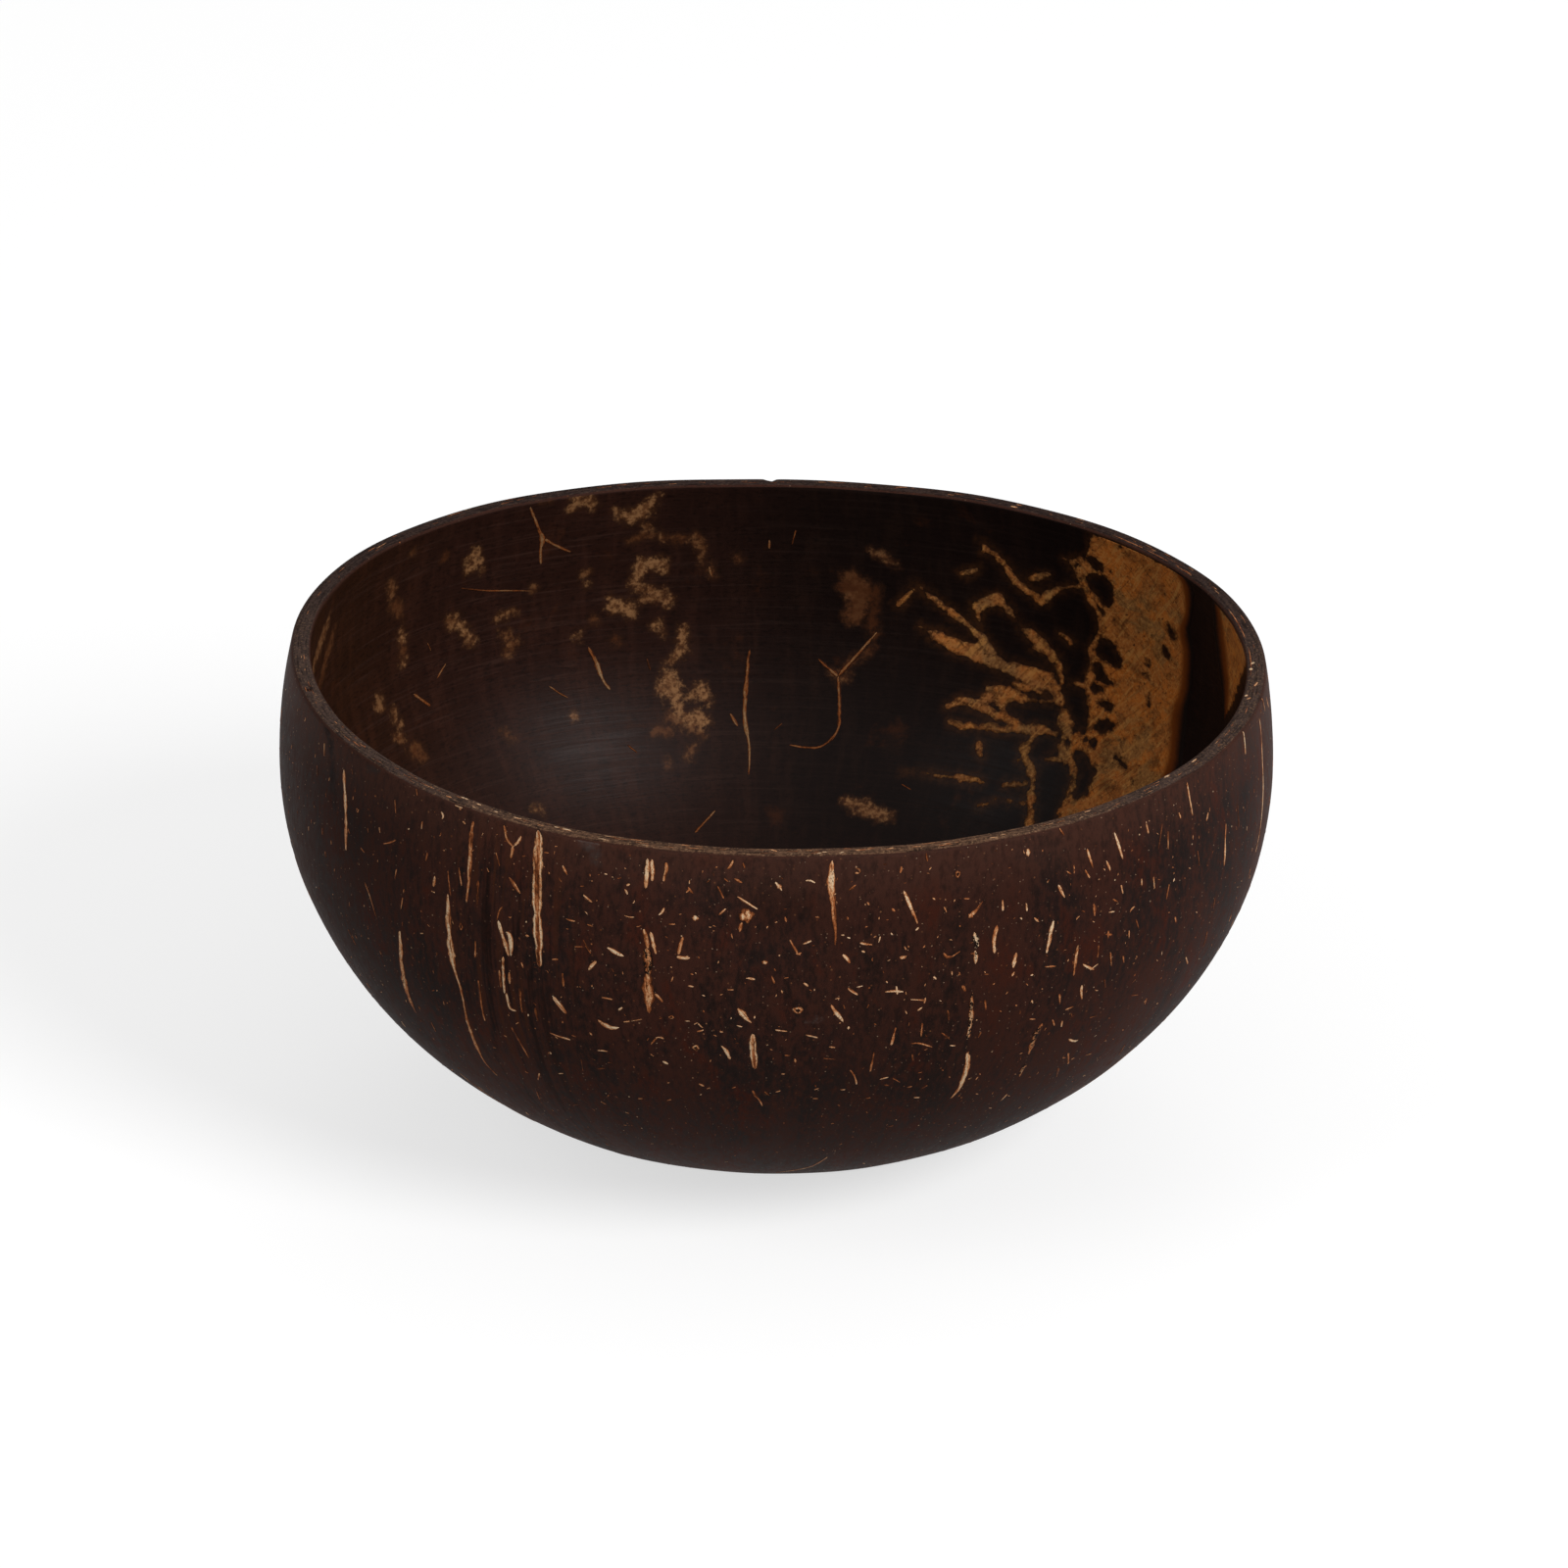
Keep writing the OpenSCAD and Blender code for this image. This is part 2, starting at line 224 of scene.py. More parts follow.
def noise2(u, v, cell, seed):
    """Smooth noise from 0 to 1 over a flat map, with cells of this size."""
    table = np.random.default_rng(seed).random((NOISE_CELLS, NOISE_CELLS))
    x, y = np.asarray(u) / cell, np.asarray(v) / cell
    i, j = np.floor(x).astype(int), np.floor(y).astype(int)
    fx, fy = smoothstep(x - i, 0, 1), smoothstep(y - j, 0, 1)
    i, j, i1, j1 = (k % NOISE_CELLS for k in (i, j, i + 1, j + 1))
    top = table[i, j] * (1 - fx) + table[i1, j] * fx
    return top * (1 - fy) + (table[i, j1] * (1 - fx) + table[i1, j1] * fx) * fy


def segment_distance(uv, a, b):
    """Distance of map points from a segment, and how far along it the nearest place is, from 0 to 1."""
    ab = b - a
    t = np.clip(((uv - a) @ ab) / max(ab @ ab, 1e-9), 0, 1)
    return np.linalg.norm(uv - a - t[:, None] * ab, axis=1), t


def stroke_distance(uv, path, half):
    """Distance in mm from map points to the edge of a stroke, positive inside it."""
    best = np.full(len(uv), -FAR)
    if len(path) == 1:
        path, half = np.vstack([path, path + 1e-3]), np.repeat(half, 2)
    for a, b, ha, hb in zip(path[:-1], path[1:], half[:-1], half[1:]):
        away, t = segment_distance(uv, a, b)
        best = np.maximum(best, ha + (hb - ha) * t - away)
    return best


def polygon_distance(uv, corners):
    """Distance in mm from map points to the outline of a polygon, positive inside it."""
    inside = np.zeros(len(uv), bool)
    best = np.full(len(uv), FAR)
    for a, b in zip(corners, np.roll(corners, -1, axis=0)):
        best = np.minimum(best, segment_distance(uv, a, b)[0])
        if a[1] != b[1]:
            cross = (a[1] > uv[:, 1]) != (b[1] > uv[:, 1])
            inside ^= cross & (uv[:, 0] < a[0] + (uv[:, 1] - a[1]) * (b[0] - a[0]) / (b[1] - a[1]))
    return np.where(inside, best, -best)


def tube_faces(n, m, turned):
    """Faces of a closed body made of n rings of m points. turned is for rings that run the other way."""
    k = np.arange(n * m).reshape(n, m)
    around = np.roll(k, -1, axis=1)
    faces = np.stack([k[:-1], k[1:], around[1:], around[:-1]], -1).reshape(-1, 4).tolist()
    faces += [k[0].tolist(), k[-1][::-1].tolist()]
    return [f[::-1] for f in faces] if turned else faces


def make_object(name, co, faces, attributes, *materials):
    """A mesh piece from points in mm, with one attribute for each named array."""
    mesh = bpy.data.meshes.new(name)
    mesh.from_pydata((np.asarray(co) * MM).tolist(), [], faces)
    for key, values in attributes.items():
        values = np.asarray(values, np.float32)
        if values.ndim == 2:
            mesh.attributes.new(key, "FLOAT_VECTOR", "POINT").data.foreach_set("vector", values.ravel())
        else:
            mesh.attributes.new(key, "FLOAT", "POINT").data.foreach_set("value", values)
    mesh.polygons.foreach_set("use_smooth", np.ones(len(mesh.polygons), bool))
    for material in materials:
        mesh.materials.append(material)
    mesh.update()
    obj = bpy.data.objects.new(name, mesh)
    bpy.context.scene.collection.objects.link(obj)
    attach(obj, "root")
    return obj


# ---------------------------------------------------------------- materials
def rgb(r, g, b):
    """A colour from 0..255 screen values, as the linear numbers that a shader takes."""
    def linear(v):
        v /= 255
        return v / 12.92 if v <= 0.04045 else ((v + 0.055) / 1.055) ** 2.4
    return (linear(r), linear(g), linear(b), 1.0)


class Nodes:
    """Adds nodes to a node tree. An input is a value or another node's output."""

    def __init__(self, tree):
        self.tree = tree

    def feed(self, socket, value):
        if isinstance(value, bpy.types.NodeSocket):
            self.tree.links.new(value, socket)
        else:
            socket.default_value = value

    def node(self, kind, inputs=None, **settings):
        n = self.tree.nodes.new("ShaderNode" + kind)
        for key, value in settings.items():
            setattr(n, key, value)
        for key, value in (inputs or {}).items():
            self.feed(n.inputs[key], value)
        return n.outputs

    def math(self, operation, a, b=0.0):
        return self.node("Math", {0: a, 1: b}, operation=operation)[0]


class Shader(Nodes):
    """A material, with short names for the nodes that it is built from."""

    def __init__(self, name):
        self.material = bpy.data.materials.new(name)
        self.material.use_nodes = True
        super().__init__(self.material.node_tree)
        self.bsdf = self.tree.nodes["Principled BSDF"]
        self.base = None

    def attribute(self, name, output="Fac"):
        return self.node("Attribute", attribute_name=name)[output]

    def position(self):
        """Place in mm in the object's own frame."""
        return self.scaled(self.node("TexCoord")["Object"], (1000, 1000, 1000))

    def add(self, a, b):
        return self.math("ADD", a, b)

    def times(self, a, b):
        return self.math("MULTIPLY", a, b)

    def blend(self, share, a, b):
        """a where share is 0 and b where it is 1."""
        return self.add(a, self.times(share, self.math("SUBTRACT", b, a)))

    def scaled(self, vector, factors):
        return self.node("VectorMath", {0: vector, 1: factors}, operation="MULTIPLY")[0]

    def shifted(self, vector, offset):
        return self.node("VectorMath", {0: vector, 1: offset}, operation="ADD")[0]

    def turned(self, vector, degrees):
        inputs = {"Vector": vector, "Angle": math.radians(degrees)}
        return self.node("VectorRotate", inputs, rotation_type="Z_AXIS")[0]

    def step(self, x, lo, hi, out_lo=0.0, out_hi=1.0):
        """x eased from lo to hi into out_lo to out_hi."""
        inputs = dict(enumerate((x, lo, hi, out_lo, out_hi)))
        return self.node("MapRange", inputs, interpolation_type="SMOOTHSTEP")[0]

    def noise(self, vector, scale, detail=3.0, roughness=0.55, distortion=0.0):
        return self.node("TexNoise", {"Vector": vector, "Scale": scale, "Detail": detail,
                                      "Roughness": roughness, "Distortion": distortion})[0]

    def cells(self, vector, scale, output="Distance"):
        return self.node("TexVoronoi", {"Vector": vector, "Scale": scale})[output]

    def mix(self, share, a, b):
        return self.node("Mix", {0: share, 6: a, 7: b}, data_type="RGBA")[2]

    def coat(self, share, colour):
        """Lays a colour over the base colour."""
        self.base = self.mix(share, self.base, colour)

    def ramp(self, x, stops):
        n = self.tree.nodes.new("ShaderNodeValToRGB")
        self.feed(n.inputs[0], x)
        e = n.color_ramp.elements
        while len(e) < len(stops):
            e.new(0.5)
        for item, (place, colour) in zip(e, stops):
            item.position, item.color = place, colour
        return n.outputs[0]

    def separate(self, colour):
        return self.node("SeparateColor", {0: colour})

    def bump(self, height, distance_mm, strength):
        return self.node("Bump", {"Height": height, "Distance": distance_mm * MM, "Strength": strength})[0]

    def finish(self, roughness, normal, shine):
        self.feed(self.bsdf.inputs["Base Color"], self.base)
        self.feed(self.bsdf.inputs["Roughness"], roughness)
        self.bsdf.inputs["Specular IOR Level"].default_value = shine
        if normal:
            self.feed(self.bsdf.inputs["Normal"], normal)
        return self.material


OUTSIDE_SHINE, INSIDE_SHINE, SKIN_SHINE, FIBRE_SHINE = 0.019, 0.05, 0.04, 0.03


def outside_material():
    """The nut's shell outside: mottled and oiled, and matte where the rim was cut."""
    s = Shader("coconut_shell")
    p = s.position()
    grain = s.attribute("grain", "Vector")
    rim, neck, streaky, front, painted_shade_and_stain = (s.attribute(k) for k in ("rim", "neck", "streaky", "front", "painted_shade_and_stain"))

    # Dark brown with redder clouds, drawn out a little along the nut
    clouds = s.noise(s.scaled(grain, (1, 1, 0.7)), 0.07, 4.0, 0.62, 0.4)
    bands = s.noise(s.scaled(grain, (1, 1, 0.1)), 0.24, 4.0, 0.6)
    fine = s.noise(s.scaled(grain, (1, 1, 0.5)), 1.3, 5.0, 0.68)
    grit = s.noise(grain, 3.6, 3.0, 0.7)
    red = s.step(s.add(clouds, s.times(bands, 0.5)), 0.6, 0.9)
    s.base = s.mix(red, rgb(33, 24, 22), rgb(47, 27, 22))
    s.coat(s.step(s.add(fine, s.times(clouds, 0.4)), 0.58, 0.86, 0.0, 0.9), rgb(57, 32, 25))
    s.coat(s.step(s.add(fine, s.times(bands, 0.6)), 0.84, 0.52, 0.0, 0.7), rgb(23, 16, 14))
    s.coat(s.step(grit, 0.56, 0.78, 0.0, 0.45), rgb(70, 42, 30))
    glow = s.step(s.noise(s.scaled(grain, (1, 1, 0.6)), 0.13, 4.0, 0.6, 0.5), 0.53, 0.66)
    s.coat(s.times(glow, s.step(fine, 0.38, 0.6, 0.2, 0.6)), rgb(64, 27, 17))
    # Painted shade: darkens the left side and a broad place at the front right, where less light falls; the
    # small spot at the front below the rim is a dark stain of the shell
    s.coat(s.times(painted_shade_and_stain, 0.6), rgb(27, 13, 8))
    threads = s.noise(s.scaled(grain, (1, 1, 0.045)), 1.0, 4.0, 0.62)
    s.coat(s.times(streaky, s.step(threads, 0.52, 0.64, 0.0, 0.8)), rgb(60, 32, 20))
    s.coat(s.times(streaky, s.step(threads, 0.48, 0.38, 0.0, 0.7)), rgb(22, 13, 10))
    # Partly the shell's own colour and partly painted light: lightens the band below the rim, against the
    # shade under the rim's rounded edge
    s.coat(s.times(neck, s.step(fine, 0.35, 0.6, 0.3, 0.65)), rgb(64, 40, 32))

    # Stains and worn places, from nearly black to pale grey. The pale line under the rim at the front left is
    # a worn place with a painted highlight
    stain_and_glint, stain_and_glint_tone = s.attribute("cloud"), s.attribute("cloud_tone")
    spread = s.step(s.add(stain_and_glint, s.times(s.add(s.noise(p, 1.1, 4.0, 0.65), -0.5), 1.6)), -0.4, 0.5)
    shade = s.mix(s.step(stain_and_glint_tone, 0.05, 0.95), rgb(17, 10, 8), rgb(84, 72, 68))
    s.coat(s.times(spread, s.step(s.add(grit, s.times(stain_and_glint_tone, -0.12)), 0.3, 0.55, 0.55, 0.85)), shade)

    # Ends of single fibres: tiny pale and orange specks of three sizes
    for scale, reach, rare, strength, warm, pale in (
            (0.6, 0.085, 0.5, 1.0, rgb(168, 96, 48), rgb(206, 176, 140)),
            (0.95, 0.17, 0.6, 0.65, rgb(96, 52, 28), rgb(122, 82, 54)),
            (1.6, 0.17, 0.52, 0.75, rgb(112, 66, 40), rgb(160, 136, 112))):
        near = s.cells(grain, scale)
        chance = s.separate(s.cells(grain, scale, "Color"))
        speck = s.times(s.step(near, reach, reach * 0.5), s.step(chance[0], rare, rare + 0.15))
        share = s.times(speck, s.step(chance[1], 0.0, 1.0, 0.25 * strength, strength))
        s.coat(share, s.mix(chance[2], warm, pale))

    # Rim: sawn and sanded, matte and greyer, with fibres running along it
    layers = s.noise(s.scaled(grain, (0.25, 0.25, 4.0)), 1.0, 4.0, 0.65)
    rough_cut = s.noise(p, 1.9, 5.0, 0.7)
    crumbs = s.noise(p, 3.4, 3.0, 0.65)
    # Painted light and shade: the rim's colours run from dark at the back, seen edge-on, to light at the
    # front, and its pale crumbs gather at the front
    dull = s.ramp(front, [(0.0, rgb(32, 23, 21)), (0.5, rgb(46, 36, 32)), (1.0, rgb(50, 35, 28))])
    bright = s.ramp(front, [(0.0, rgb(54, 41, 37)), (0.5, rgb(68, 53, 47)), (1.0, rgb(96, 70, 53))])
    sawn = s.mix(s.step(s.add(layers, rough_cut), 0.85, 1.15), dull, bright)
    crumbly = s.times(s.step(crumbs, 0.55, 0.66), s.step(front, 0.0, 1.0, 0.15, 0.75))
    sawn = s.mix(crumbly, sawn, rgb(140, 106, 78))
    sawn = s.mix(s.step(layers, 0.44, 0.34, 0.0, 0.7), sawn, rgb(26, 17, 14))
    # Painted shade: the pit and the chip in the rim are darkened where they dip
    sawn = s.mix(s.step(s.attribute("pit"), 0.2, 0.9), sawn, rgb(20, 12, 10))
    s.coat(s.step(s.add(rim, s.times(s.add(rough_cut, -0.5), 0.5)), 0.3, 0.7), sawn)

    rough = s.add(s.step(fine, 0.3, 0.7, 0.52, 0.66), s.times(rim, 0.2))
    height = s.add(s.times(fine, 0.6), s.times(grit, 0.3))
    height = s.add(height, s.times(s.times(s.add(rough_cut, layers), rim), 1.2))
    return s.finish(rough, s.bump(height, 0.05, 0.6), OUTSIDE_SHINE)


def inside_material():
    """The nut's shell inside: nearly black, warmer on the left, lighter on its left half as painted light,
    with fine lines left by sanding.
    """
    s = Shader("coconut_shell_inside")
    p = s.position()
    grain = s.attribute("grain", "Vector")
    warm, left, halo = s.attribute("warm"), s.attribute("left"), s.attribute("halo")
    # Towards the middle of the floor the unrolled grain bunches up, so plain noise takes over there
    low = s.attribute("low")
    turning = s.blend(low, s.noise(s.scaled(grain, (0.05, 0.05, 2.2)), 1.0, 4.0, 0.6, 0.8),
                      s.noise(p, 0.5, 4.0, 0.6, 0.8))
    weave = s.blend(low, s.noise(s.scaled(grain, (1, 1, 0.25)), 0.5, 4.0, 0.6), s.noise(p, 0.25, 4.0, 0.6))
    fine = s.blend(low, s.noise(s.scaled(grain, (0.5, 0.5, 1.6)), 1.8, 4.0, 0.65), s.noise(p, 1.6, 4.0, 0.65))
    # Painted light: where left is 1, the base, the weave and the sanding lines are lighter, standing in for
    # the light and the broad sheen that fall on the left half of the inside
    s.base = s.mix(left, rgb(21, 13, 11), rgb(38, 21, 16))
    s.coat(warm, rgb(42, 23, 12))
    s.coat(s.step(weave, 0.42, 0.72, 0.0, 0.8),
           s.mix(warm, s.mix(left, rgb(29, 18, 14), rgb(50, 28, 21)), rgb(54, 29, 15)))
    s.coat(s.step(turning, 0.52, 0.72, 0.0, 0.4), s.mix(left, rgb(34, 23, 19), rgb(64, 43, 36)))
    s.coat(s.step(fine, 0.5, 0.34, 0.0, 0.5), rgb(13, 8, 7))
    embers = s.step(s.noise(p, 0.14, 5.0, 0.65, 0.3), 0.6, 0.76)
    s.coat(s.times(embers, 0.42), rgb(66, 34, 17))

    # A brown glow around the inner skin, and cloudy remains of it that fade into the shell
    weak = s.noise(p, 1.3, 4.0, 0.65)
    s.coat(s.times(halo, s.step(weak, 0.36, 0.62, 0.25, 0.9)), rgb(56, 32, 17))
    cloud, cloud_tone = s.attribute("cloud"), s.attribute("cloud_tone")
    rag = s.noise(p, 0.75, 5.0, 0.68)
    edge = s.add(cloud, s.times(s.add(rag, -0.5), 3.0))
    cover = s.times(s.step(edge, -1.1, 0.3), s.step(cloud_tone, 0.0, 0.7, 0.55, 1.0))
    core = s.step(s.add(edge, s.times(s.add(weak, -0.5), 3.0)), -0.6, 0.7)
    light = s.mix(s.step(weak, 0.42, 0.6), rgb(94, 60, 36), rgb(130, 92, 60))
    light = s.mix(s.step(cloud_tone, 0.15, 0.8), rgb(78, 42, 22), light)
    s.coat(cover, s.mix(core, rgb(52, 30, 18), light))

    rough = s.step(turning, 0.3, 0.7, 0.34, 0.48)
    height = s.add(s.times(turning, 0.9), s.times(fine, 0.5))
    return s.finish(rough, s.bump(height, 0.05, 0.5), INSIDE_SHINE)


def fibre_material(name, soft, stops):
    """Husk fibres. across runs from -1 to 1 over a strand, and thread is a place along its fibres.
    stops are the colours from a dark tone to a pale one, and soft is where the painted shade along a strand's
    edge begins."""
    s = Shader(name)
    thread = s.attribute("thread", "Vector")
    side = s.math("ABSOLUTE", s.attribute("across"))
    tone, edged, broken = s.attribute("tone"), s.attribute("edged"), s.attribute("broken")
    lines = s.noise(s.scaled(thread, (1.0, 0.1, 1.0)), 3.0, 3.0, 0.65)
    knots = s.noise(s.scaled(thread, (1.0, 0.6, 1.0)), 2.6, 4.0, 0.68)
    t = s.add(tone, s.times(s.add(lines, -0.5), 2.0))
    t = s.add(t, s.times(s.add(knots, -0.5), 1.1))
    # Painted shade: the tone falls towards a strand's edges, as in a groove
    t = s.add(t, s.step(side, soft, 0.8, 0.08, -0.36))
    t = s.add(t, s.times(edged, s.step(side, 0.3, 0.55, -0.34, 0.34)))
    s.base = s.ramp(t, stops)
    hollow = s.times(s.step(edged, 1.0, 1.5), s.step(side, 0.5, 0.3))
    s.coat(hollow, rgb(24, 13, 10))
    s.coat(s.step(lines, 0.41, 0.34, 0.0, 0.75), rgb(56, 29, 15))
    specks = s.noise(s.scaled(thread, (1.0, 0.6, 1.0)), 5.5, 2.0, 0.6)
    s.coat(s.step(specks, 0.53, 0.66, 0.0, 0.7), rgb(80, 42, 22))
    cracks = s.add(knots, s.times(lines, 0.5))
    limit = s.math("SUBTRACT", 1.02, s.times(broken, 0.3))
    gaps = s.step(cracks, limit, s.add(limit, 0.06))
    s.coat(gaps, rgb(24, 13, 9))
    # Painted shade: a dark line along the strand's edge, where it meets the shell
    groove_shade = s.step(s.add(side, s.times(s.add(knots, -0.5), 0.7)), soft + 0.3, 0.98)
    s.coat(groove_shade, rgb(30, 16, 11))
    height = s.add(lines, s.times(gaps, -0.8))
    return s.finish(s.step(lines, 0.3, 0.7, 0.5, 0.68), s.bump(height, 0.08, 0.7), FIBRE_SHINE)


def lining_material():
    """The patch of inner skin: tan, with orange and olive clouds, fine dark streaks and amber edges."""
    s = Shader("inner_skin")
    m = s.attribute("map", "Vector")
    inset, tone, fade, smudge = (s.attribute(k) for k in ("inset", "tone", "fade", "smudge"))
    big = s.noise(m, 0.17, 4.0, 0.62, 0.6)
    other = s.noise(s.shifted(m, (40, 7, 3)), 0.14, 4.0, 0.62, 0.6)
    mid = s.noise(s.shifted(m, (5, 60, 9)), 0.62, 5.0, 0.7, 0.6)
    fine = s.noise(m, 2.1, 4.0, 0.72)
    s.base = s.mix(tone, rgb(122, 82, 50), rgb(160, 94, 44))
    for where, lo, hi, share, plain, tanned in (
            (big, 0.46, 0.58, 0.85, rgb(134, 86, 46), rgb(178, 99, 38)),
            (other, 0.5, 0.6, 0.7, rgb(106, 76, 50), rgb(124, 92, 54)),
            (mid, 0.51, 0.62, 0.65, rgb(78, 50, 31), rgb(106, 64, 31)),
            (mid, 0.47, 0.38, 0.4, rgb(138, 94, 56), rgb(184, 118, 56)),
            (fine, 0.52, 0.66, 0.6, rgb(144, 100, 60), rgb(188, 134, 74))):
        s.coat(s.step(where, lo, hi, 0.0, share), s.mix(tone, plain, tanned))
    s.coat(s.step(fine, 0.46, 0.34, 0.0, 0.7), rgb(68, 38, 17))
    for turn, scale, lo, hi, share, colour in ((55, 0.9, 0.54, 0.62, 0.5, rgb(182, 126, 66)),
                                               (50, 1.2, 0.57, 0.66, 0.45, rgb(74, 42, 20)),
                                               (-38, 1.0, 0.58, 0.68, 0.5, rgb(66, 38, 18))):
        streak = s.noise(s.scaled(s.turned(m, turn), (0.2, 1.5, 1)), scale, 3.0, 0.62, 0.8)
        s.coat(s.times(s.step(streak, lo, hi), share), colour)
    specks = s.noise(s.shifted(m, (3, 9, 30)), 1.5, 2.0, 0.5)
    s.coat(s.step(specks, 0.66, 0.72, 0.0, 0.8), rgb(40, 23, 13))
    worn = s.times(smudge, s.step(mid, 0.4, 0.56, 0.35, 1.0))
    s.coat(worn, rgb(46, 30, 19))
    ragged = s.add(inset, s.times(s.add(s.add(fine, mid), -1.0), 1.3))
    s.coat(s.step(ragged, 0.6, -0.1, 0.0, 0.9), rgb(50, 28, 15))
    f = s.add(fade, s.times(s.add(mid, -0.5), 0.22))
    s.coat(s.step(f, 0.85, 0.5), rgb(100, 48, 15))
    s.coat(s.step(f, 0.55, 0.12), rgb(23, 15, 12))
    height = s.add(s.times(mid, 0.7), s.times(fine, 0.4))
    return s.finish(s.step(fine, 0.3, 0.7, 0.46, 0.6), s.bump(height, 0.06, 0.6), SKIN_SHINE)


OUTSIDE, INSIDE, LINING = outside_material(), inside_material(), lining_material()
FIBRE = fibre_material("husk_fibre", 0.35, [
    (0.0, rgb(48, 24, 14)), (0.25, rgb(102, 53, 27)), (0.5, rgb(156, 92, 53)), (0.75, rgb(193, 143, 101)),
    (1.0, rgb(208, 181, 148))])
INNER_FIBRE = fibre_material("inner_fibre", 0.05, [
    (0.05, rgb(34, 18, 11)), (0.25, rgb(66, 34, 17)), (0.45, rgb(124, 66, 30)), (0.64, rgb(112, 78, 48)),
    (1.0, rgb(144, 112, 80))])

# ---------------------------------------------------------------- marks of the inside
# Clouds of inner skin. A row has a digit for how light the cloud is, and then x, y and width
CLOUDS = """
6 586,512,6 590,509,8 600,510,12 606,517,7
6 586,516,7 580,521,4
7 627,521,3 635,528,9 643,528,15 652,524,17 659,520,15 665,511,10 670,506,6
5 661,537,10 664,543,5 675,549,5
3 645,551,5 661,545,5 679,549,3 698,549,3
4 701,550,6 708,549,10 716,558,8 717,570,5
3 724,581,6 729,587,6
7 652,580,11 654,574,8
6 651,585,10 647,594,8 654,600,10 665,604,11 676,606,10 683,611,8 682,618,6
8 664,576,9 674,574,13 676,580,9
5 655,612,8 670,611,7
8 623,611,5 628,618,13 637,619,14 645,626,8
6 670,638,9 677,646,4
6 696,642,6 695,654,8 696,663,10 688,671,8 680,679,5
8 685,689,13 681,700,20 690,704,14
9 686,703,4 691,714,6 696,725,5
8 688,712,7 696,728,10 704,735,17 712,733,18 719,735,10
7 722,717,7 716,705,12 708,708,10
4 682,729,9 710,744,8 717,750,5
3 671,745,10 679,745,12
4 707,761,6 702,774,6
3 682,779,7
7 485,562,6 481,571,12 487,577,10 477,581,8
6 489,566,4 491,583,5
5 506,631,5 518,628,7 524,624,5
4 514,648,8 522,656,12 518,664,10
5 457,632,9 463,634,13 463,641,8
8 467,637,8 474,645,10 482,656,6
4 477,650,8 480,655,10
3 862,590,8 870,588,10 877,600,20 878,616,22 870,628,17
4 868,604,12 880,610,14 874,622,10
2 862,600,12 884,604,11
6 862,818,6 878,824,12 895,830,14 910,834,7
3 422,563,7
2 453,569,8
4 398,596,8 399,604,12
3 402,618,12 409,623,12
7 409,645,7 410,652,9
3 411,663,10
6 411,676,8
5 336,630,6 333,640,14 329,650,20 325,662,18 321,674,12 319,688,8
3 341,642,8 336,662,12 330,684,12 326,700,8
5 386,713,8 387,721,12
5 401,723,4 403,733,5 408,738,5 409,746,5
4 406,752,12 412,754,8
3 423,766,16 430,770,12
5 545,823,6 552,828,6
4 597,584,7
6 598,597,5
4 545,600,4
5 585,731,6
3 511,744,3 525,756,3
6 589,650,7
3 606,633,8
2 629,654,9
5 892,564,6 903,570,6 914,576,3
1 895,600,6 888,640,8
3 753,569,6
4 848,686,4 856,692,6 866,690,3
3 862,682,4 874,671,4 888,664,2
2 888,662,3 895,645,3
2 688,553,3 700,549,4 712,547,3
3 560,470,2 566,476,3
"""

# Clouds on the wall that the photograph hides: azimuth, height and width in mm
WITHIN_FRONT = """
6 -61,53,1.2 -62.5,51,2.2 -64,50,1.2
4 -63,48,1.6 -66,47.5,1
3 -59,46.5,0.8 -60,45,1.2
5 -69,56,0.8 -70,54,1.6 -69,52,0.8
6 -94,51,1 -96,49,2.4 -95,46.5,2 -93,45,1
3 -98,47,1 -100,45.5,1.2
4 -92,42,1.4 -90.5,40,0.8
5 -113,55,1 -114.5,53,1.8 -113,50.5,1
3 -117,52,0.8 -118.5,50,1.2
6 -129,46,1 -128,43.5,2 -130,41.5,1.6 -131,39,0.8
4 -126,40,1.2 -124,38,0.8
3 -76,38,1 -79,36.5,1.8 -82,36,1
5 -84,33,1.4 -86,31.5,0.8
5 -41,44,1.2 -42.5,41,2 -41.5,38.5,1.2
3 -45,39,0.8 -46.5,37,1.2
4 -29,57,1 -31,54,1.8 -31.5,50.5,1.4 -30,47.5,0.8
2 -34,52,1.2 -36,50,1.6
3 -101,30,1.2 -104,28,1.8 -107,28.5,1
4 -147,58,0.8 -149.5,55,1.4 -149,51,1
3 -142,50,1 -143,47.5,1.2
2 -118,21,1.4 -112,18,2 -104,17,1.2
2 -60,22,1.2 -56,19,1.8 -50,18,1
2 20,14,1.2 40,12,1.8 60,13,1
"""

WITHIN_STRANDS = """
5674 -74,42,0.3 -75,46,0.6 -74,50,0.55 -75,54,0.25
34 -75,46,0.3 -78,48.5,0.35 -80,50,0.2
456 -108,38,0.25 -107,42,0.5 -108.5,46,0.3
67 -121,57,0.3 -121.5,54,0.5
345 -52,33,0.3 -55,36,0.45 -56,39,0.25
4567 -20,52,0.3 -21,48,0.6 -20,43,0.5 -21.5,39,0.25
45 -87,57,0.25 -84,56,0.35 -81,56.5,0.2
543 -136,34,0.3 -134,30,0.4 -131,27,0.2
"""

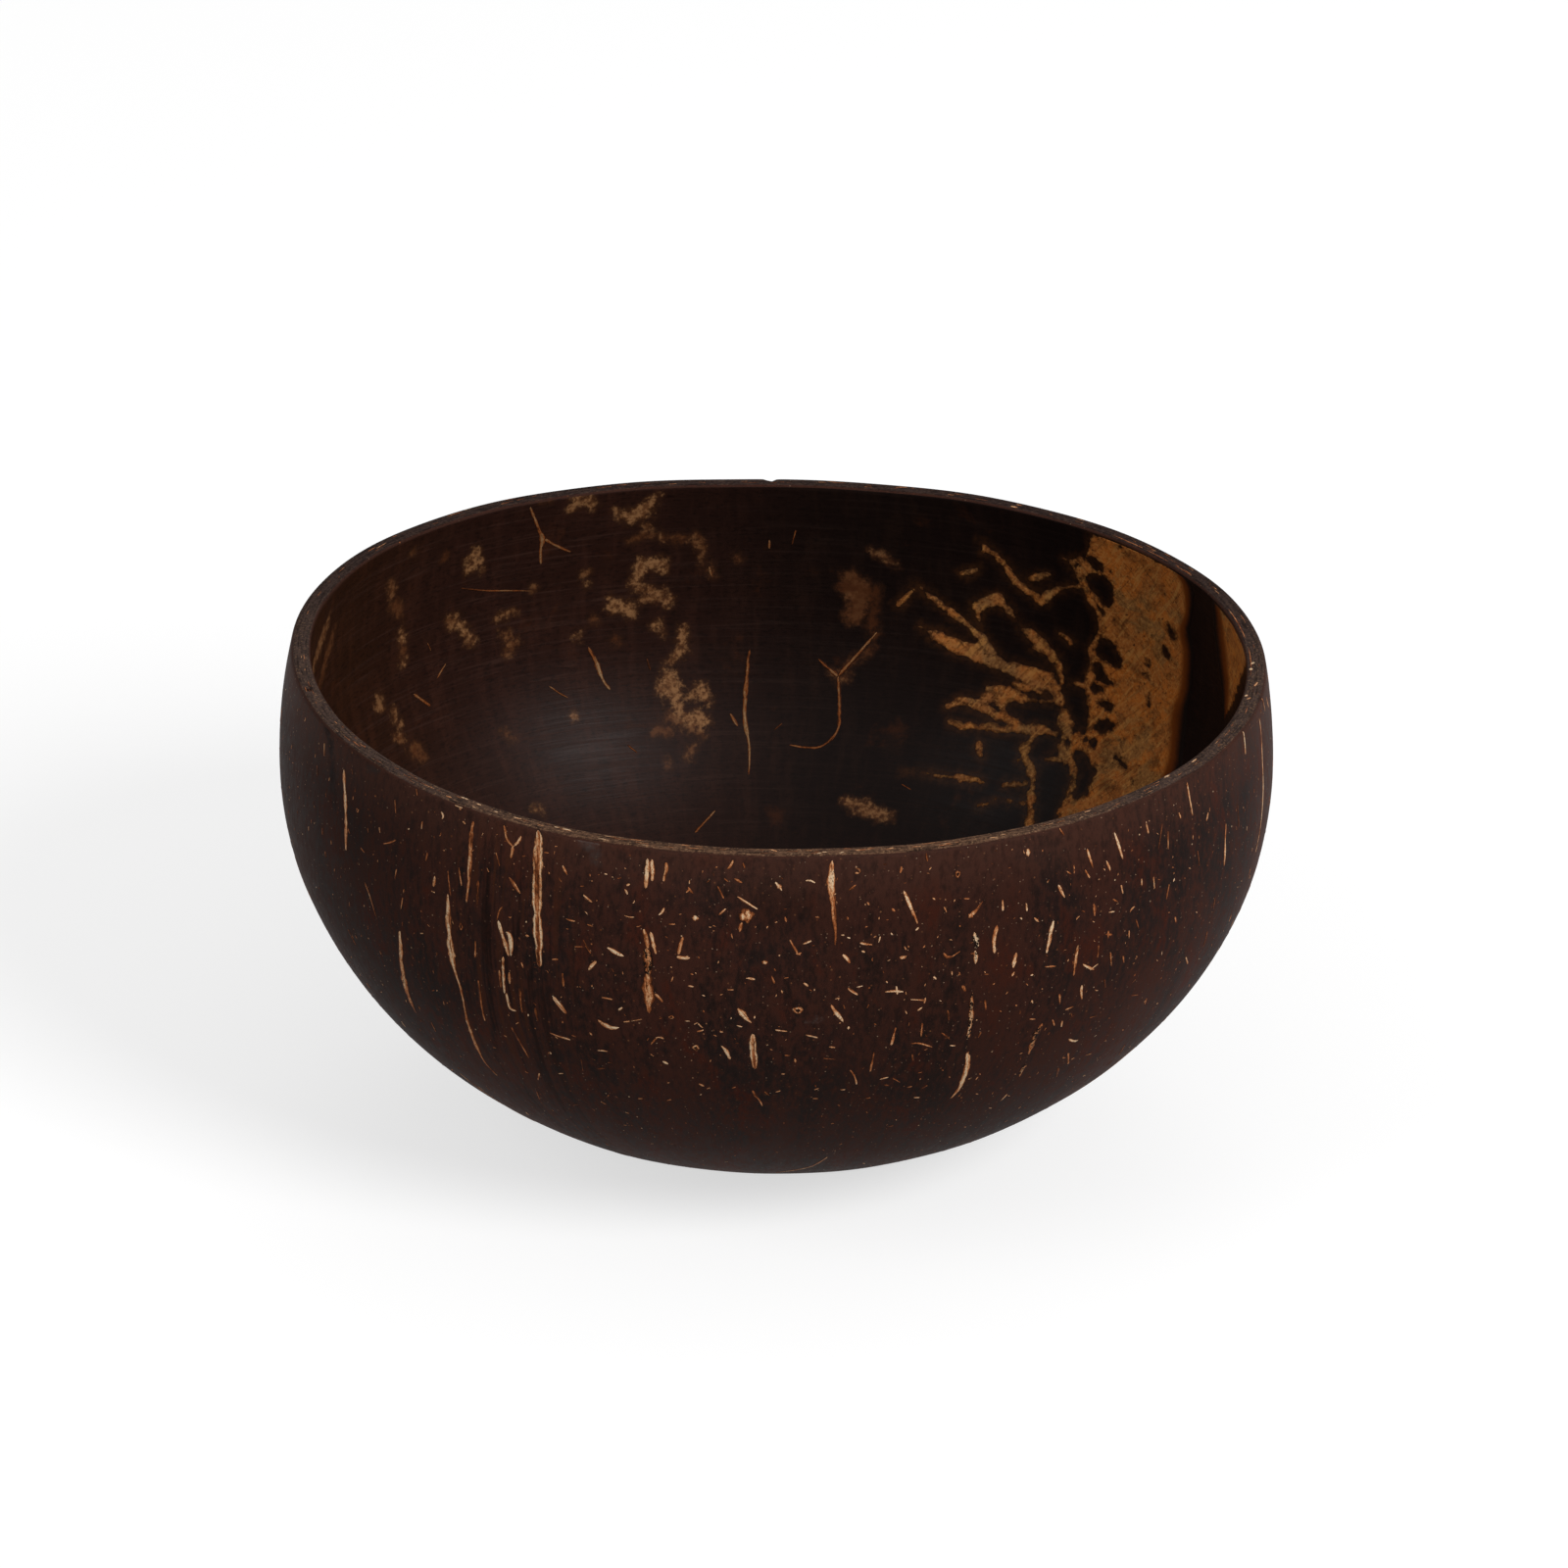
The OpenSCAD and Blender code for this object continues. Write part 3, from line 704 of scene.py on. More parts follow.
# Remains of inner skin that join the patch on the right. The digit is how light they are
RAYS = """
5 1001,553,3 1006,561,9 1016,565,6 1024,575,6 1030,585,6 1038,595,6 1048,603,5 1058,609,5 1062,615,6 \
1071,607,9 1079,602,7 1091,599,6 1101,597,7
7 1093,575,7 1099,585,7 1104,596,7 1114,612,8 1122,628,7 1123,640,5 1121,650,6 1116,660,7
6 1105,571,8 1095,574,7 1085,570,3
5 1052,589,4 1061,588,5 1071,586,3
3 981,586,3 989,584,4 996,582,5
4 999,633,5 998,620,11 1007,614,13 1018,611,12 1026,620,9 1035,630,6
5 1043,642,7 1054,648,12 1060,658,15 1071,667,12 1079,675,8 1083,687,7 1084,698,8
4 916,618,4 926,608,6 936,597,5
4 936,597,4 952,611,4 966,622,5 981,632,6 993,644,7 1003,654,9 1011,664,12
4 940,640,3 952,646,9 971,658,15 991,665,17 1007,673,15 1026,681,13 1042,687,17 1054,691,24 1067,695,24 \
1077,703,17 1083,716,9
4 1009,703,5 1022,704,11 1032,709,12 1042,713,8 1054,714,6 1067,716,5 1081,714,7
4 1035,697,5 1048,701,8 1062,706,7
4 966,721,2 981,717,6 989,716,9 1001,721,8 1010,727,7 1016,730,6
4 998,716,8 1012,711,9 1022,713,12 1022,722,8
5 1016,729,7 1030,734,11 1038,740,9 1046,744,8
5 969,738,5 985,741,7 1001,742,6 1018,744,6 1032,743,8 1046,744,9 1057,744,12 1065,744,8 1078,749,3
7 1056,748,7 1052,757,6 1047,763,13 1044,774,9 1050,781,12 1054,795,9 1052,811,9 1051,826,9 1050,842,8
6 1040,775,5 1046,774,8
5 1024,801,4 1034,801,5 1048,800,6
4 998,822,3 1007,820,4 1016,816,4
4 1028,816,3 1044,820,4
3 922,788,1.5 940,789,2.5 960,792,3 977,793,5 991,795,6 1004,799,3
4 999,760,3 1001,771,3
6 1083,647,5 1092,655,5
6 1087,728,12 1088,738,14 1090,749,13 1083,760,6 1085,771,11 1091,781,11 1097,792,7 1092,803,7 1087,818,10 \
1084,829,10
7 1094,752,8 1104,752,11 1113,748,8
5 1066,775,4 1077,775,5 1082,776,6
7 1113,664,7 1113,683,8 1111,697,7 1112,710,7 1114,724,8 1112,744,8
6 1110,701,3 1097,697,2 1084,700,1.5
"""

PATCH = """
8 1114,545 1130,547 1152,553 1174,562 1194,571 1210,582 1222,596 1228,612 1231,640 1230,668 1229,691 \
1227,713 1220,738 1214,761 1208,783 1198,800 1169,812 1141,821 1113,830 1096,834 1078,838 1089,814 1094,797 \
1096,786 1089,781 1082,774 1083,761 1084,747 1094,748 1108,747 1110,733 1109,716 1110,702 1108,694 1112,668 \
1116,660 1123,648 1126,636 1125,629 1117,614 1107,600 1102,592 1096,586 1094,579 1104,571 1110,560
"""

STRIP = """
8 1228,600 1240,604 1251,616 1261,628 1268,648 1271,668 1268,688 1262,706 1256,722 1246,738 1238,740 \
1236,706 1233,673 1229,640 1227,612
"""

# Where the patch and the strip fade out: pairs of points, from full colour to none
SOFT_EDGES = """
patch 1186,568,1203,575 1199,590,1216,596 1204,606,1219,606 1206,622,1217,626 1196,640,1214,644 \
1201,664,1219,668 1200,690,1217,692 1196,706,1216,708 1186,722,1212,724 1186,760,1208,762 1184,779,1206,782 \
1178,795,1196,800
strip 1246,610,1236,607 1252,640,1238,640 1257,673,1242,673 1259,706,1247,706 1256,725,1248,728
"""

# Dark islands of shell that show through the patch. p is an outline and s a stroke
ISLANDS = """
p 1105,587 1111,585 1118,586 1128,589 1135,596 1137,604 1136,617 1130,619 1125,616 1119,609 1112,600
p 1123,652 1132,652 1139,659 1138,664 1144,672 1144,680 1136,681 1128,676 1117,670 1117,662
p 1117,678 1123,680 1129,690 1138,697 1137,700 1130,699 1121,693 1117,686
p 1116,740 1120,734 1131,734 1137,739 1135,745 1126,746 1118,745
p 1097,766 1104,767 1112,775 1117,787 1114,797 1108,811 1098,814 1095,808 1101,793 1098,779
p 1081,781 1088,782 1093,789 1091,798 1085,806 1080,806
s 1114,573,8 1118,576,13 1122,578,9
s 1125,625,5
s 1137,633,3
s 1115,702,5 1125,704,6
s 1123,719,6 1132,721,7
s 1109,756,4 1116,759,5
s 1090,758,6
s 1139,773,4 1144,778,6 1150,785,3
s 1156,796,3
s 1172,679,3
s 1167,687,2 1171,689,3
s 1172,712,2 1173,720,3
s 1189,663,4 1192,671,4
s 1140,556,2 1144,559,2
s 1193,638,5 1196,648,6
s 1130,581,2 1133,583,2
"""

# Darker smudges on the patch. The digit is how dark they are
SMUDGES = """
5 1196,643,14
4 1191,667,13
3 1161,748,18 1166,744,12
3 1178,736,4 1178,750,4
4 1129,756,6 1151,753,4
4 1113,762,3 1122,771,4 1136,782,3
3 1150,676,3 1161,683,4 1170,691,3
3 1186,600,16
3 1150,566,10 1166,574,8
3 1125,800,12 1140,806,8
2 1178,780,16
3 1175,618,10
2 1142,700,12
"""

# Strands of the inside: tones from the start to the end, then x, y and width
INNER_STRANDS = """
6567 541,517,3 545,528,4 550,540,4 555,550,6 551,559,4 552,576,3
654 555,550,5 565,556,3 583,563,3
4567665 600,660,2.5 605,669,5 610,679,5.5 613,689,4.5 617,697,4.5 623,704,3
3445566777764 765,663,3.5 763.5,672,5 763,682,6 762,692,5.5 761,703,5 760,716,4.5 760,729,4.5 760.5,741,5 \
763,750,3.5 765,765,3 764.5,780,3 764,791,2
567 745,728,3.5 749,735,4.5 753,741,3
45 835,672,3 845,682,4 855,690,6
54 855,690,5 865,679,4 875,668,4 895,645,2
65444 855,690,5 857,720,4 856,742,4 851,752,4 838,763,3 822,763,3 805,760,2
"""

# Fine fibres of the inside that are too thin to be bodies of their own
INNER_HAIRS = """
2454 470,600,2 488,602,3 502,603,2.5 543,603,1.2
456 709,850,5 718,840,3 730,827,2
654 422,708,3.5 431,714,4 440,721,3
43 455,677,2 450,685,3 446,692,3
67 724,578,3.5 726,588,4
55 785,551,3.5 785,560,4
32 812,541,2 808,556,3
44 1000,765,2 1002,772,2
43 660,672,2 664,684,3
22 888,655,2 893,640,1.5
33 560,700,1.5 572,708,2 580,712,1.5
33 640,760,2 650,768,2.5
43 790,745,1.5 798,738,2
33 920,800,2 930,806,2
44 436,656,2 440,664,1.5
"""

# ---------------------------------------------------------------- marks of the outside
# Stains and worn places of the outside. The digit runs from 1, dark, to 9, pale. The pale row under the rim
# at 590 to 612 px is a worn place with a painted highlight
STAINS_AND_GLINT = """
1 495,866,1 496,890,3 497,925,4 498,960,5 500,1000,5 504,1045,5 508,1085,3
2 484,925,1 485,980,2 490,1040,2
2 512,1000,2 520,1050,2
2 458,850,1 460,900,2
4 594,862,2 602,867,6 609,872,8 606,879,6 613,883,3
7 590,854,3 600,857,3.5 612,860,2.5
3 372,783,6 381,786,8 388,787,5
2 360,773,5
1 735,905,8 745,915,6
9 826,1043,5 836,1040,6 843,1036,3
1 340,700,10 338,760,14 341,820,12
"""

# Strands. The digits are tones from the start to the end, from 0, dark, to 9, pale. e marks pale edges
# round a brown core, k some dark breaks and K many
LONG = """
6656675e 549.8,843,9 549.4,860,9 549,880,9 548.2,901,9 547.8,922,8.5 548.6,944,9 550,969,9.5 550.8,987,7
67777655455455 456.7,912,2 457.2,926,5 457.6,940,7 458.8,958,8 460.5,974,8 463,986,6.5 467,999,4 \
470.6,1010,3 473.7,1024,3 475.8,1036,4 478.8,1048,5 485.9,1067,5 495,1085,3.5 508,1098,1.5
7654k 408,950,4 409,965,6 409,978,5 411,990,7 413,1005,9 418,1020,8 425,1034,4
34555 483,838,3 481,851,5 479.4,881,4.5 478.4,901,3.5 476,921,2
67765k 351,785,3 351,797,6.5 352.5,815,6 353,840,5.5 353,855,5.5 353,868,3
67776544321k 849.2,878,3 848.8,886,6 848.6,894,7.5 847.8,901,7.5 848.2,909,6 849.5,918,6 850.4,930,6 \
851.6,941,5 852.8,951,3.5 852,965,2
66778877 1285,733,2 1287,750,2.5 1288,775,3 1289,800,3.5 1288.5,820,3 1286,845,2 1281,870,2
899K 994,951,3.5 995.3,957,6.5 996.9,964,6 996,968,4
898K 994.8,970,3 996,975,5 995.4,983,3.5
677K 992.3,1013,2 991.6,1021,4.5 990.6,1030,6 990.8,1041,5.5 989.4,1050,4.5 987,1061,3
86775k 986.6,1074,4.5 988,1081,6.5 986,1091,6 983,1101,5 979,1111,4 970,1121,2
5675K 1063.4,1044,6.5 1059.7,1051,8 1055.4,1059,7.5 1052,1068,6 1049.8,1076,4
564K 1046.9,1085,4 1043,1091,4.5 1039.6,1099,3
"""

SHORT = """
7764e 768,1055,4 768.2,1066,7.5 769,1078,7.5 770.5,1091,5
76 660.5,876,3 661,884,5 660,895,5 658.5,907,2.5
665 665,877,3 666,888,4.5 665.5,899,3.5
4555 679.5,880,3 680.2,888,4 678.3,893,3 677.2,899.5,3.5
887 752,915,2 761,920.5,3.5 773,928,2
7654 922,909,4 926,918,4.5 931,929,4 936.5,943,2
567k 1017.5,944,3.5 1013.5,959,4.5 1015,973,3.5
76 1037,972,3 1035.5,979,4.5 1034,988,3
776 1075,939,2.5 1072,953,4.5 1068,973,3
7654 1100,964,2.5 1098,976,4 1095.4,996,2
5776 848,1025,2.5 851.5,1031,4 856,1037,5 860.5,1043,3
5678 610,1040.5,4 616,1046,6.5 624,1050,6.5 632,1048.5,3.5
88878 619.5,967,4 625,970,5 630,973,3.5 636.5,975.5,4.5
87654 563.7,1016,3.5 568,1022,5 574,1029,5 578.5,1035,2
767 561,1054,2.5 571,1058,3 582,1061,2
6776 753,1029,3.5 757,1034,6 762,1040,5 767,1044,2
6766 736,1067,3 740,1071,4.5 743,1076,4.5 745,1081,3
5576 1251,840,2 1250,856,3 1250,868,5.5 1249,884,2
765 1211,798,2.5 1214,815,2.5 1217,833,2
787 1266,734,3.5 1269,747,3 1271,770,2
7754 1137,849,2 1140,857,3.5 1142.5,865,4 1146,877,2
654 519,895,4 525,903,5 531,912,2.5
66 443.8,894,3 442.3,905,3.5
56 608,980.5,4.5 604,985,5 600.5,990,3
765 860,974,4.5 864,978,5 867.5,983,2.5
"""

FORKED = """
665 656.8,948,3 659,956,4.5 661.5,968,3.5
655 663.6,951,3 666,961,5 669.5,974,3.5
65K 660.5,967,9 661.5,982,10 660.5,996,7
55544k 660.6,992,8.5 660.8,1004,9.5 662,1016,10 662.3,1026,8.5 662.4,1034,4
654 668.4,1014,3.5 672.5,1018,4.5 676,1023,4
98765 508.2,939,2.5 510.5,948,4.5 513.5,957,6 516,964,6 519,976,4
887 516,951,4.5 520.3,953,4.5 521.6,962,5 521.5,976,3
76 513.5,976,3 513.3,988,3.5 514.2,1002,3.5 514.8,1014,3
65 509.5,990,2 511.4,1008,2.5
54 519.6,992,3 520,1004,3
77 516.5,1013,3 518.6,1024,3.5 521,1030,4 527,1031.5,3
5654 514,842,3.5 516,851,4 519,859,4.5 523.3,864,5
65 531.6,853,3 529.5,859,4 523.3,864,4.5
76 523.3,863,4.5 521.3,876,4
655 697,956,2.5 694,966,4.5 692,974,5
788 690.5,976,5 697,977.5,3.5 704,977.5,5
7654 990.8,934.5,6.5 995,930,3.5 999,925,2.5 1003,919.5,2
"""

# Knots, and rings with a dark core: the place has a height after its width
KNOTS = """
6 761.5,934.5,16.5,16.5
8 1049,870,5.5,8
8 709.5,937,6.5,6
6 921,977,7,5
5 990.6,934.3,6.5,6.5
7 780.5,982,6.5,5
7 795,904.5,6,5
"""

KNOT_ARCS = """
54 757,941,6 755.8,946,5 754.6,951,3
"""

RINGS = """
3 814,1031,11,9
3 709.7,1069,8,8
2 685,1038,6,5
1 470.5,945.5,5,10
1 977.5,892,6,8
3 561,1074.5,5,4
1 364.8,827,5,5
"""

# Smaller marks, most of which are too fine to be bodies of their own
SMALL = """
64 331,758,3 331,772,3
55 323.5,781,3.5 323.7,792,4
33 329,845,3 329,852,3
44 332,869,2 332.5,875,2
556 1285,702,2 1288,712,2 1291,726,2
55 425,804,2 426,812,3
54 403,816,2 404,830,2
55 368,865,3 372,870,3
44 375,845,2 376,850,2
44 387,844,2.5 388,850,2.5
44 431,838,2.5 430,846,3
555 391,861,2.5 398,860,3 404,857,2.5
54 436,870,2.5 434.5,879,3
76 450,828,3 453,833,4 451,836,3
88 464.5,818,3 473,818.5,3
86 470,818,3 470,827,3
55 472,838,4 475,841,4
66 404.5,887,3 403,897,3
33 355,845,3 357,851,4
44 372,900,1.5 378,915,2 384,936,2
44 355,948,2 363,964,2
55 411,916,3 409,928,2
33 457,888,2 460,915,3
64 506,870,3.5 510,884,3.5
33 468,885,3.5 471,904,3.5
77 440,909,2 444,911,2
23 488,898,4 487,925,4
44 513,925,2.5 509,930,3 507,939,2
23 485,960,3.5 485,977,4
23 488,1000,4 492,1030,5 495,1042,3
22 530,1008,4 533,1034,4
64 574,883,3.5 576,888,5.5 579,893,3
55 595,913,2.5 604,921,3.5
64 577.5,937.5,3.5 582,939,4 587,940,3
47 599,943,3.5 605,945,3.5
76 637,934,1.6 642,936,2.2 647,936,1.6
65 678,926,3.5 676,931,4.5 672,934,2
54 702,905,3.5 707,912,4
55 700,911,3 704,907,3
66 682,943,2.5 689,943,2
55 532,982,3.5 534,988,4.5
77 563,979.5,3 569.5,979,3
43 595,959,2.5 599,967,3.5 603,973,2
43 586,966,2 595,966,2
44 574,993,3.5 575,1007,3.5
44 687,996.5,2.5 685,1002,4
67 702,1006,3.5 708,1007,4.5
22 546,1028,5 549,1042,6
56 614,1018,4.5 625,1020,3.5
88 631,1031,3.5 635,1028,3.5
77 636,1043,2.5 643,1042,3
66 644,1042,1.6 655,1040,1.6
77 699,1042,2.5 704,1042,3
66 712,1044,3.5 717,1049,4.5
55 711,1053,3 718,1051,3.5
33 583,1056,3 588,1058,3
777 609.5,1072,2.5 615,1072,3.5 620,1073,2
65 664,1066,2.5 668,1061,3.5 671,1059,2
77 669,1059,2.5 673,1058,3 677.5,1060,3
43 593,1081,2 595,1093,2
66 609.5,1091,3 617,1090,3.5
88 676,1083,3 682,1086,4.5
77 569.5,1095.5,2.5 575,1095.5,2.5
55 535.5,1093,3.5 539.5,1095,3.5
55 550.5,1095,3.5 549,1102,2
44 546,1109,2.5 551,1122,2
66 713,1106,3.5 718.5,1108.5,4.5
66 613,1124,2.5 619,1127,2
66 680,1123,2.5 685,1122,2
66 651,1121,2.5 656,1121,2
55 584.5,1128,2.5 590,1127,2
45 440,1043,2.5 445,1053,2
33 522,1048,3 530,1062,4 540,1080,3
554 748,877.5,2.5 746,883.5,4.5 742,887,2
44 758,880.5,2.5 760,886,2.5
55 749.5,896.5,3 757.5,901,4.5
55 739,896.5,2.5 743.5,900,2
678 791,900,4 794,904,5.5 798,909,3
888 822,899,2.5 826,898,4.5 832,901,2
776 873,886,3.5 878,887,4.5 877,891,3.5
66 872.5,891,3.5 876.5,891,3.5
55 873.5,903,4.5 866,909,3.5
33 732,904,2.5 738.5,917,3
65 740.5,927,3.5 733.5,934,3.5
66 801,935.5,4 802.5,941,3.5
54 910,927,3.5 913.5,930,4.5
54 963.5,925.5,3.5 966,931.5,3
44 920.3,884,3.5 918.8,891,3.5
55 983.5,917,2.5 989.5,917,3
44 945,870.5,2.5 946.5,879,3
54 806,959,3.5 809,965,4.5 814,973,3
78 819.5,963.5,2.5 828,960,4.5
55 812,973,3.5 817,974,3
666 877.5,962,3.5 884,963.5,4.5 890.5,964,3
88 898.3,955.5,3 896.8,962,3
544 963,972.5,4.5 966.5,977.5,5.5 972,976,3
44 971,976.5,3 980,970.5,2
44 790,988,2.5 791.5,991,3
578 761,998.3,3.5 766,998.4,4.5 770.5,999.5,4.5
44 787.5,996,2.5 790,1004,3
66 742,1010,2 748.5,1010,2
88 820,1003,3.5 825,1006.5,4.5
677 865,1008,3.5 869,1011.5,4.5 875.5,1015.5,3
68 874,1007.5,2 880.5,1006,4.5
5675 903,1012,3.5 912,1011,5.5 922,1012,3
77 914.5,1006,3.5 915.5,1015,4.5
777 929,1020,1.6 938,1020.4,2.2 944.5,1020.4,4.5
55 944.5,1018,4 943,1024,3.5
66 936,1031.5,3.5 941,1028,3
54 982,1005.5,4.5 985,1012,4.5
77 751.5,1046.5,2.5 757.5,1048,3.5
77 791,1051,2.5 797,1052,3.5 803.5,1052.5,2.5
66 822,1056,3.5 834.5,1059,2.5
44 967,1031,4 968.2,1041,4.5
457 914,1048,2.5 911.5,1058,3.5 909.6,1067,4.5
23 941,1044,3.5 940,1058,4.5
4554 929,1065,2.5 936,1064,3.5 944,1066,3.5 951.5,1068.5,2
44 961,1054,2.5 968.5,1059.5,3
66 800.5,1077,3.5 806.5,1077,4.5
77 811,1080.5,3.5 812,1084.5,3.5
66 846,1068,3.5 852.5,1069,3
43 840,1080,1.8 852.5,1081,1.6
455 892,1073.5,3 890,1083,4.5 888,1094,3.5
44 931,1075.5,3.5 932,1082.5,3.5
55 969,1067,2.5 975,1067,2
4466 867,1092,2.5 871,1096,3.5 873,1101,2.5 874,1107,3.5
77 897.5,1101.5,3 906.5,1099,3.5
33 911,1100,2.5 918.5,1104.5,2
33 902,1107,3.5 907.5,1108,3.5
44 946.5,1107,2.5 940,1111,2
66 857.5,1112,2.5 862.5,1112,2
4455 768,1112.5,3.5 770,1118,4 775,1122,3.5 778,1129,2
22 780,1114,2.5 785,1118,3
77 791,1114.5,2.5 796.5,1113,2.5
44 747,1110.5,3.5 750.5,1109,3.5
55 829,1121,2.5 834.5,1121,2.5
55 883,1121,2.5 888.5,1120,2.5
66 932.5,1120,2.5 938.5,1120,2.5
43 1081,842.5,3 1086,852.5,2.5
654 1109,866,3.5 1112,875,4.5 1115.5,886,2
77 1170,841.5,2.5 1172,850.5,3.5
43 1186,840,2 1182,867,1.6
54 1192,848,2.5 1192,867,1.8
55 1203,829,2.5 1205,835,3.5
55 1233,829,3.5 1231,838.5,3
854 1129,878,4.5 1131,883,4.5 1133,889,3
43 1107,887.5,3.5 1112,896,4
43 1088.5,889,3.5 1093.5,892,3
665 1080,903,4.5 1083,909,5.5 1086.5,916,2
77 1144,903,2.5 1146,912,3.5
43 1165,896.5,2.5 1165,904,3
55 1177,894.5,2.5 1178,906,2
44 1193,902,2.5 1190,918,3.5
56 1023,918,3 1023.5,929.5,3.5
78 1047,921.5,3.5 1048,930,3.5
66 1055.5,936.5,3.5 1060,940.5,3.5
43 1116,922,5.5 1117,928,5.5 1117,935,3
66 1131.5,931,2.5 1137.5,930,2.5
55 1135.5,917.5,2.5 1141,920.5,3.5
665 1158,925,3.5 1155,927,4.5 1153,931,2.5
44 1159,938,2.5 1162,948,2
54 1199,935.5,3.5 1200,941.5,2.5
33 1128,953.5,4.5 1135,954,4.5
44 1131,949.5,3.5 1131,957.5,3
55 1152,949.5,3.5 1152,957.5,2.5
43 1121,964.5,2.5 1120,977,3.5
43 1133,971.5,2.5 1134,986,3.5
54 1146,975.5,3.5 1147,982.5,3
77 1210,976.5,2.5 1212,983.5,3.5
76 1105,984,3.5 1112,988,4.5 1117,989.5,3
66 1112,990,3.5 1120.5,983.5,2.5
44 1069.5,986.5,4.5 1077.5,986,3.5
32 1127,999,3.5 1128,1008,3
766 1104,1005.5,4.5 1103,1011,4.5 1104,1020,2.5
54 1081,1014.5,3.5 1081.4,1025,3.5
55 1087,1030.5,4 1095.5,1027,3
22 1005,1020,3.5 1006,1031,2.5
44 1154.5,1016,2.5 1161.5,1015,2.5
55 1170,1018.5,2.5 1168,1025,2.5
33 1112,1038.5,2.5 1119.5,1036,2.5
66 1050.5,1040,2.5 1056.5,1040,2.5
54 1074,1040.5,2.5 1076,1047,3.5
54 1084,1041.5,3.5 1083,1048,3.5
44 1001,1052.5,3.5 998,1059,2.5
44 960,1054,2.5 969.5,1060.5,2.5
777 1090.5,1060.5,3 1096,1063,4.5 1100.5,1061,2
55 1090,1074.5,3.5 1090,1086,3.5
44 1107.5,1077,2.5 1113.5,1075,2.5
43 1148,1066,2.5 1141,1077,1.6
66 1021,1123.5,3.5 1027.5,1116.5,3
32 1080,1090,4.5 1078,1099,3
33 1232,950,2 1228,966,2
43 1222,868,2 1224,884,2
43 1240,915,2 1238,928,2
33 1263,820,2 1264,845,2
"""

# Dots: x, y, width and tone
DOTS = """
453,868,3,6 446,1011,3,7 520,936,3,4 560,891,3,4 582,917,2,4 609,919,2,4 602,893,3,4 618,892,3,7 638,886,2,6
625,895,2,6 641,903,4,7 639,910,6,6 694,933,2.5,7 724,946,2,6 728,950,2,5 538,955,4,5 700,977,5,8 713,977,3,5
710,993,2,5 685,987,2,5 628,995,2,5 604,1006,3,7 592,1007,2,5 539,1036,3.5,8 574,1043,3,5 519,1036,2,5
603,1055,4,6 706,994,3,5 733,982,3,7 725,946,2,6 731,885,2.5,4 715,871,3,7 698,876,2.5,5 736,1015,3,5
718,1016,3,5 737,1053,2.5,7 725,1083,3,6 715,1117,3,5 647,1089,3,5 682,1105,3,7 629,1119,3,5 582,1113,2.5,5
572,1085,2.5,4 521,936,2,5 783,946,3,7 792,941,2.5,6 771,946,2,5 834,936,4.5,8 865,937,4,6 886,922,4,5
883,923,2,6 897,937,3,6 910,953,3,7 884,946,3,4 893,956,3,5 860,954,3.5,9 866,957,3.5,9 936,948,4.5,8
957,956,2.5,6 953,917,3.5,8 959,917,2.5,6 974,919,3,7 881,971,4,9 927,966,2.5,5 943,966,3.5,6 907,980,3,5
905,1002,3,7 954,998,5,6 831,1010,2.5,6 798,1012,4,6 792,1016,3,5 887,1008,3,4 923,1020,2,6 718,1032,3,6
770,1038,3.5,6 746,1039,2.5,6 866,1049,4,8 857,1044,2,6 871,1055,2,5 893,1045,3,4 736,1053,3.5,7
750,1060,2.5,4 787,1071,3,5 764,1061,2,4 725,1082,2.5,5 802,1061,2,5 799,1096,3.5,7 832,1108,4,4 939,1101,3,6
960,1090,2,5 856,1128,3,4 981,1120,3,4 816,973,4,4 1010,866,3.5,7 1038,859,3,5 1033,867,2,5 1046,844,2,5
1064,868,2.5,5 1127,887,3.5,7 1141,892,3,6 1155,868,2.5,4 1162,877,2.5,6 1197,885,3,6 1214,886,3.5,7
1232,883,2.5,4 1198,891,2.5,4 1198,898,4,6 1209,896,2.5,4 1178,906,2.5,7 1164,915,2.5,4 1193,931,2.5,5
1221,931,3.5,6 1228,939,3,3 1042,937,3.5,8 1035,937,2.5,4 1005,992,2.5,5 1014,1004,3,4 1053,995,3.5,8
1090,980,3,7 1034,994,5.5,6 1158,995,3,4 1157,983,2.5,6 1185,998,2.5,4 1200,989,2.5,5 1168,1022,3,4
1181,1024,3,5 1037,1026,3,5 1021,1032,3,4 1146,1051,3,5 1128,1062,2.5,5 1118,1057,3,7 1132,1039,2.5,5
1042,1075,3.5,7 1000,1096,3,4 988,1088,2,4 969,1099,2.5,5 962,1092,2.5,5 979,1118,4,4 989,1101,2.5,4
1036,1096,3,6 1047,1088,2,5 417,846,3,7 460,866,2.5,4 381,872,2,5 376,826,2,4 455,960,2,4 430,930,2.5,4
421,985,2,4 433,1002,2,4 450,1060,2.5,4 470,1078,2.5,5 505,1115,2.5,4 530,1138,2.5,4 560,1140,2.5,5
600,1150,2.5,4 640,1146,2.5,5 668,1160,2,4 700,1146,2.5,5 730,1158,2.5,4 762,1150,2.5,5 800,1146,2.5,4
840,1150,2.5,5 870,1160,2,4 905,1148,2.5,5 940,1142,2.5,4 975,1146,2.5,5 1010,1136,2.5,4 1050,1120,2.5,5
"""

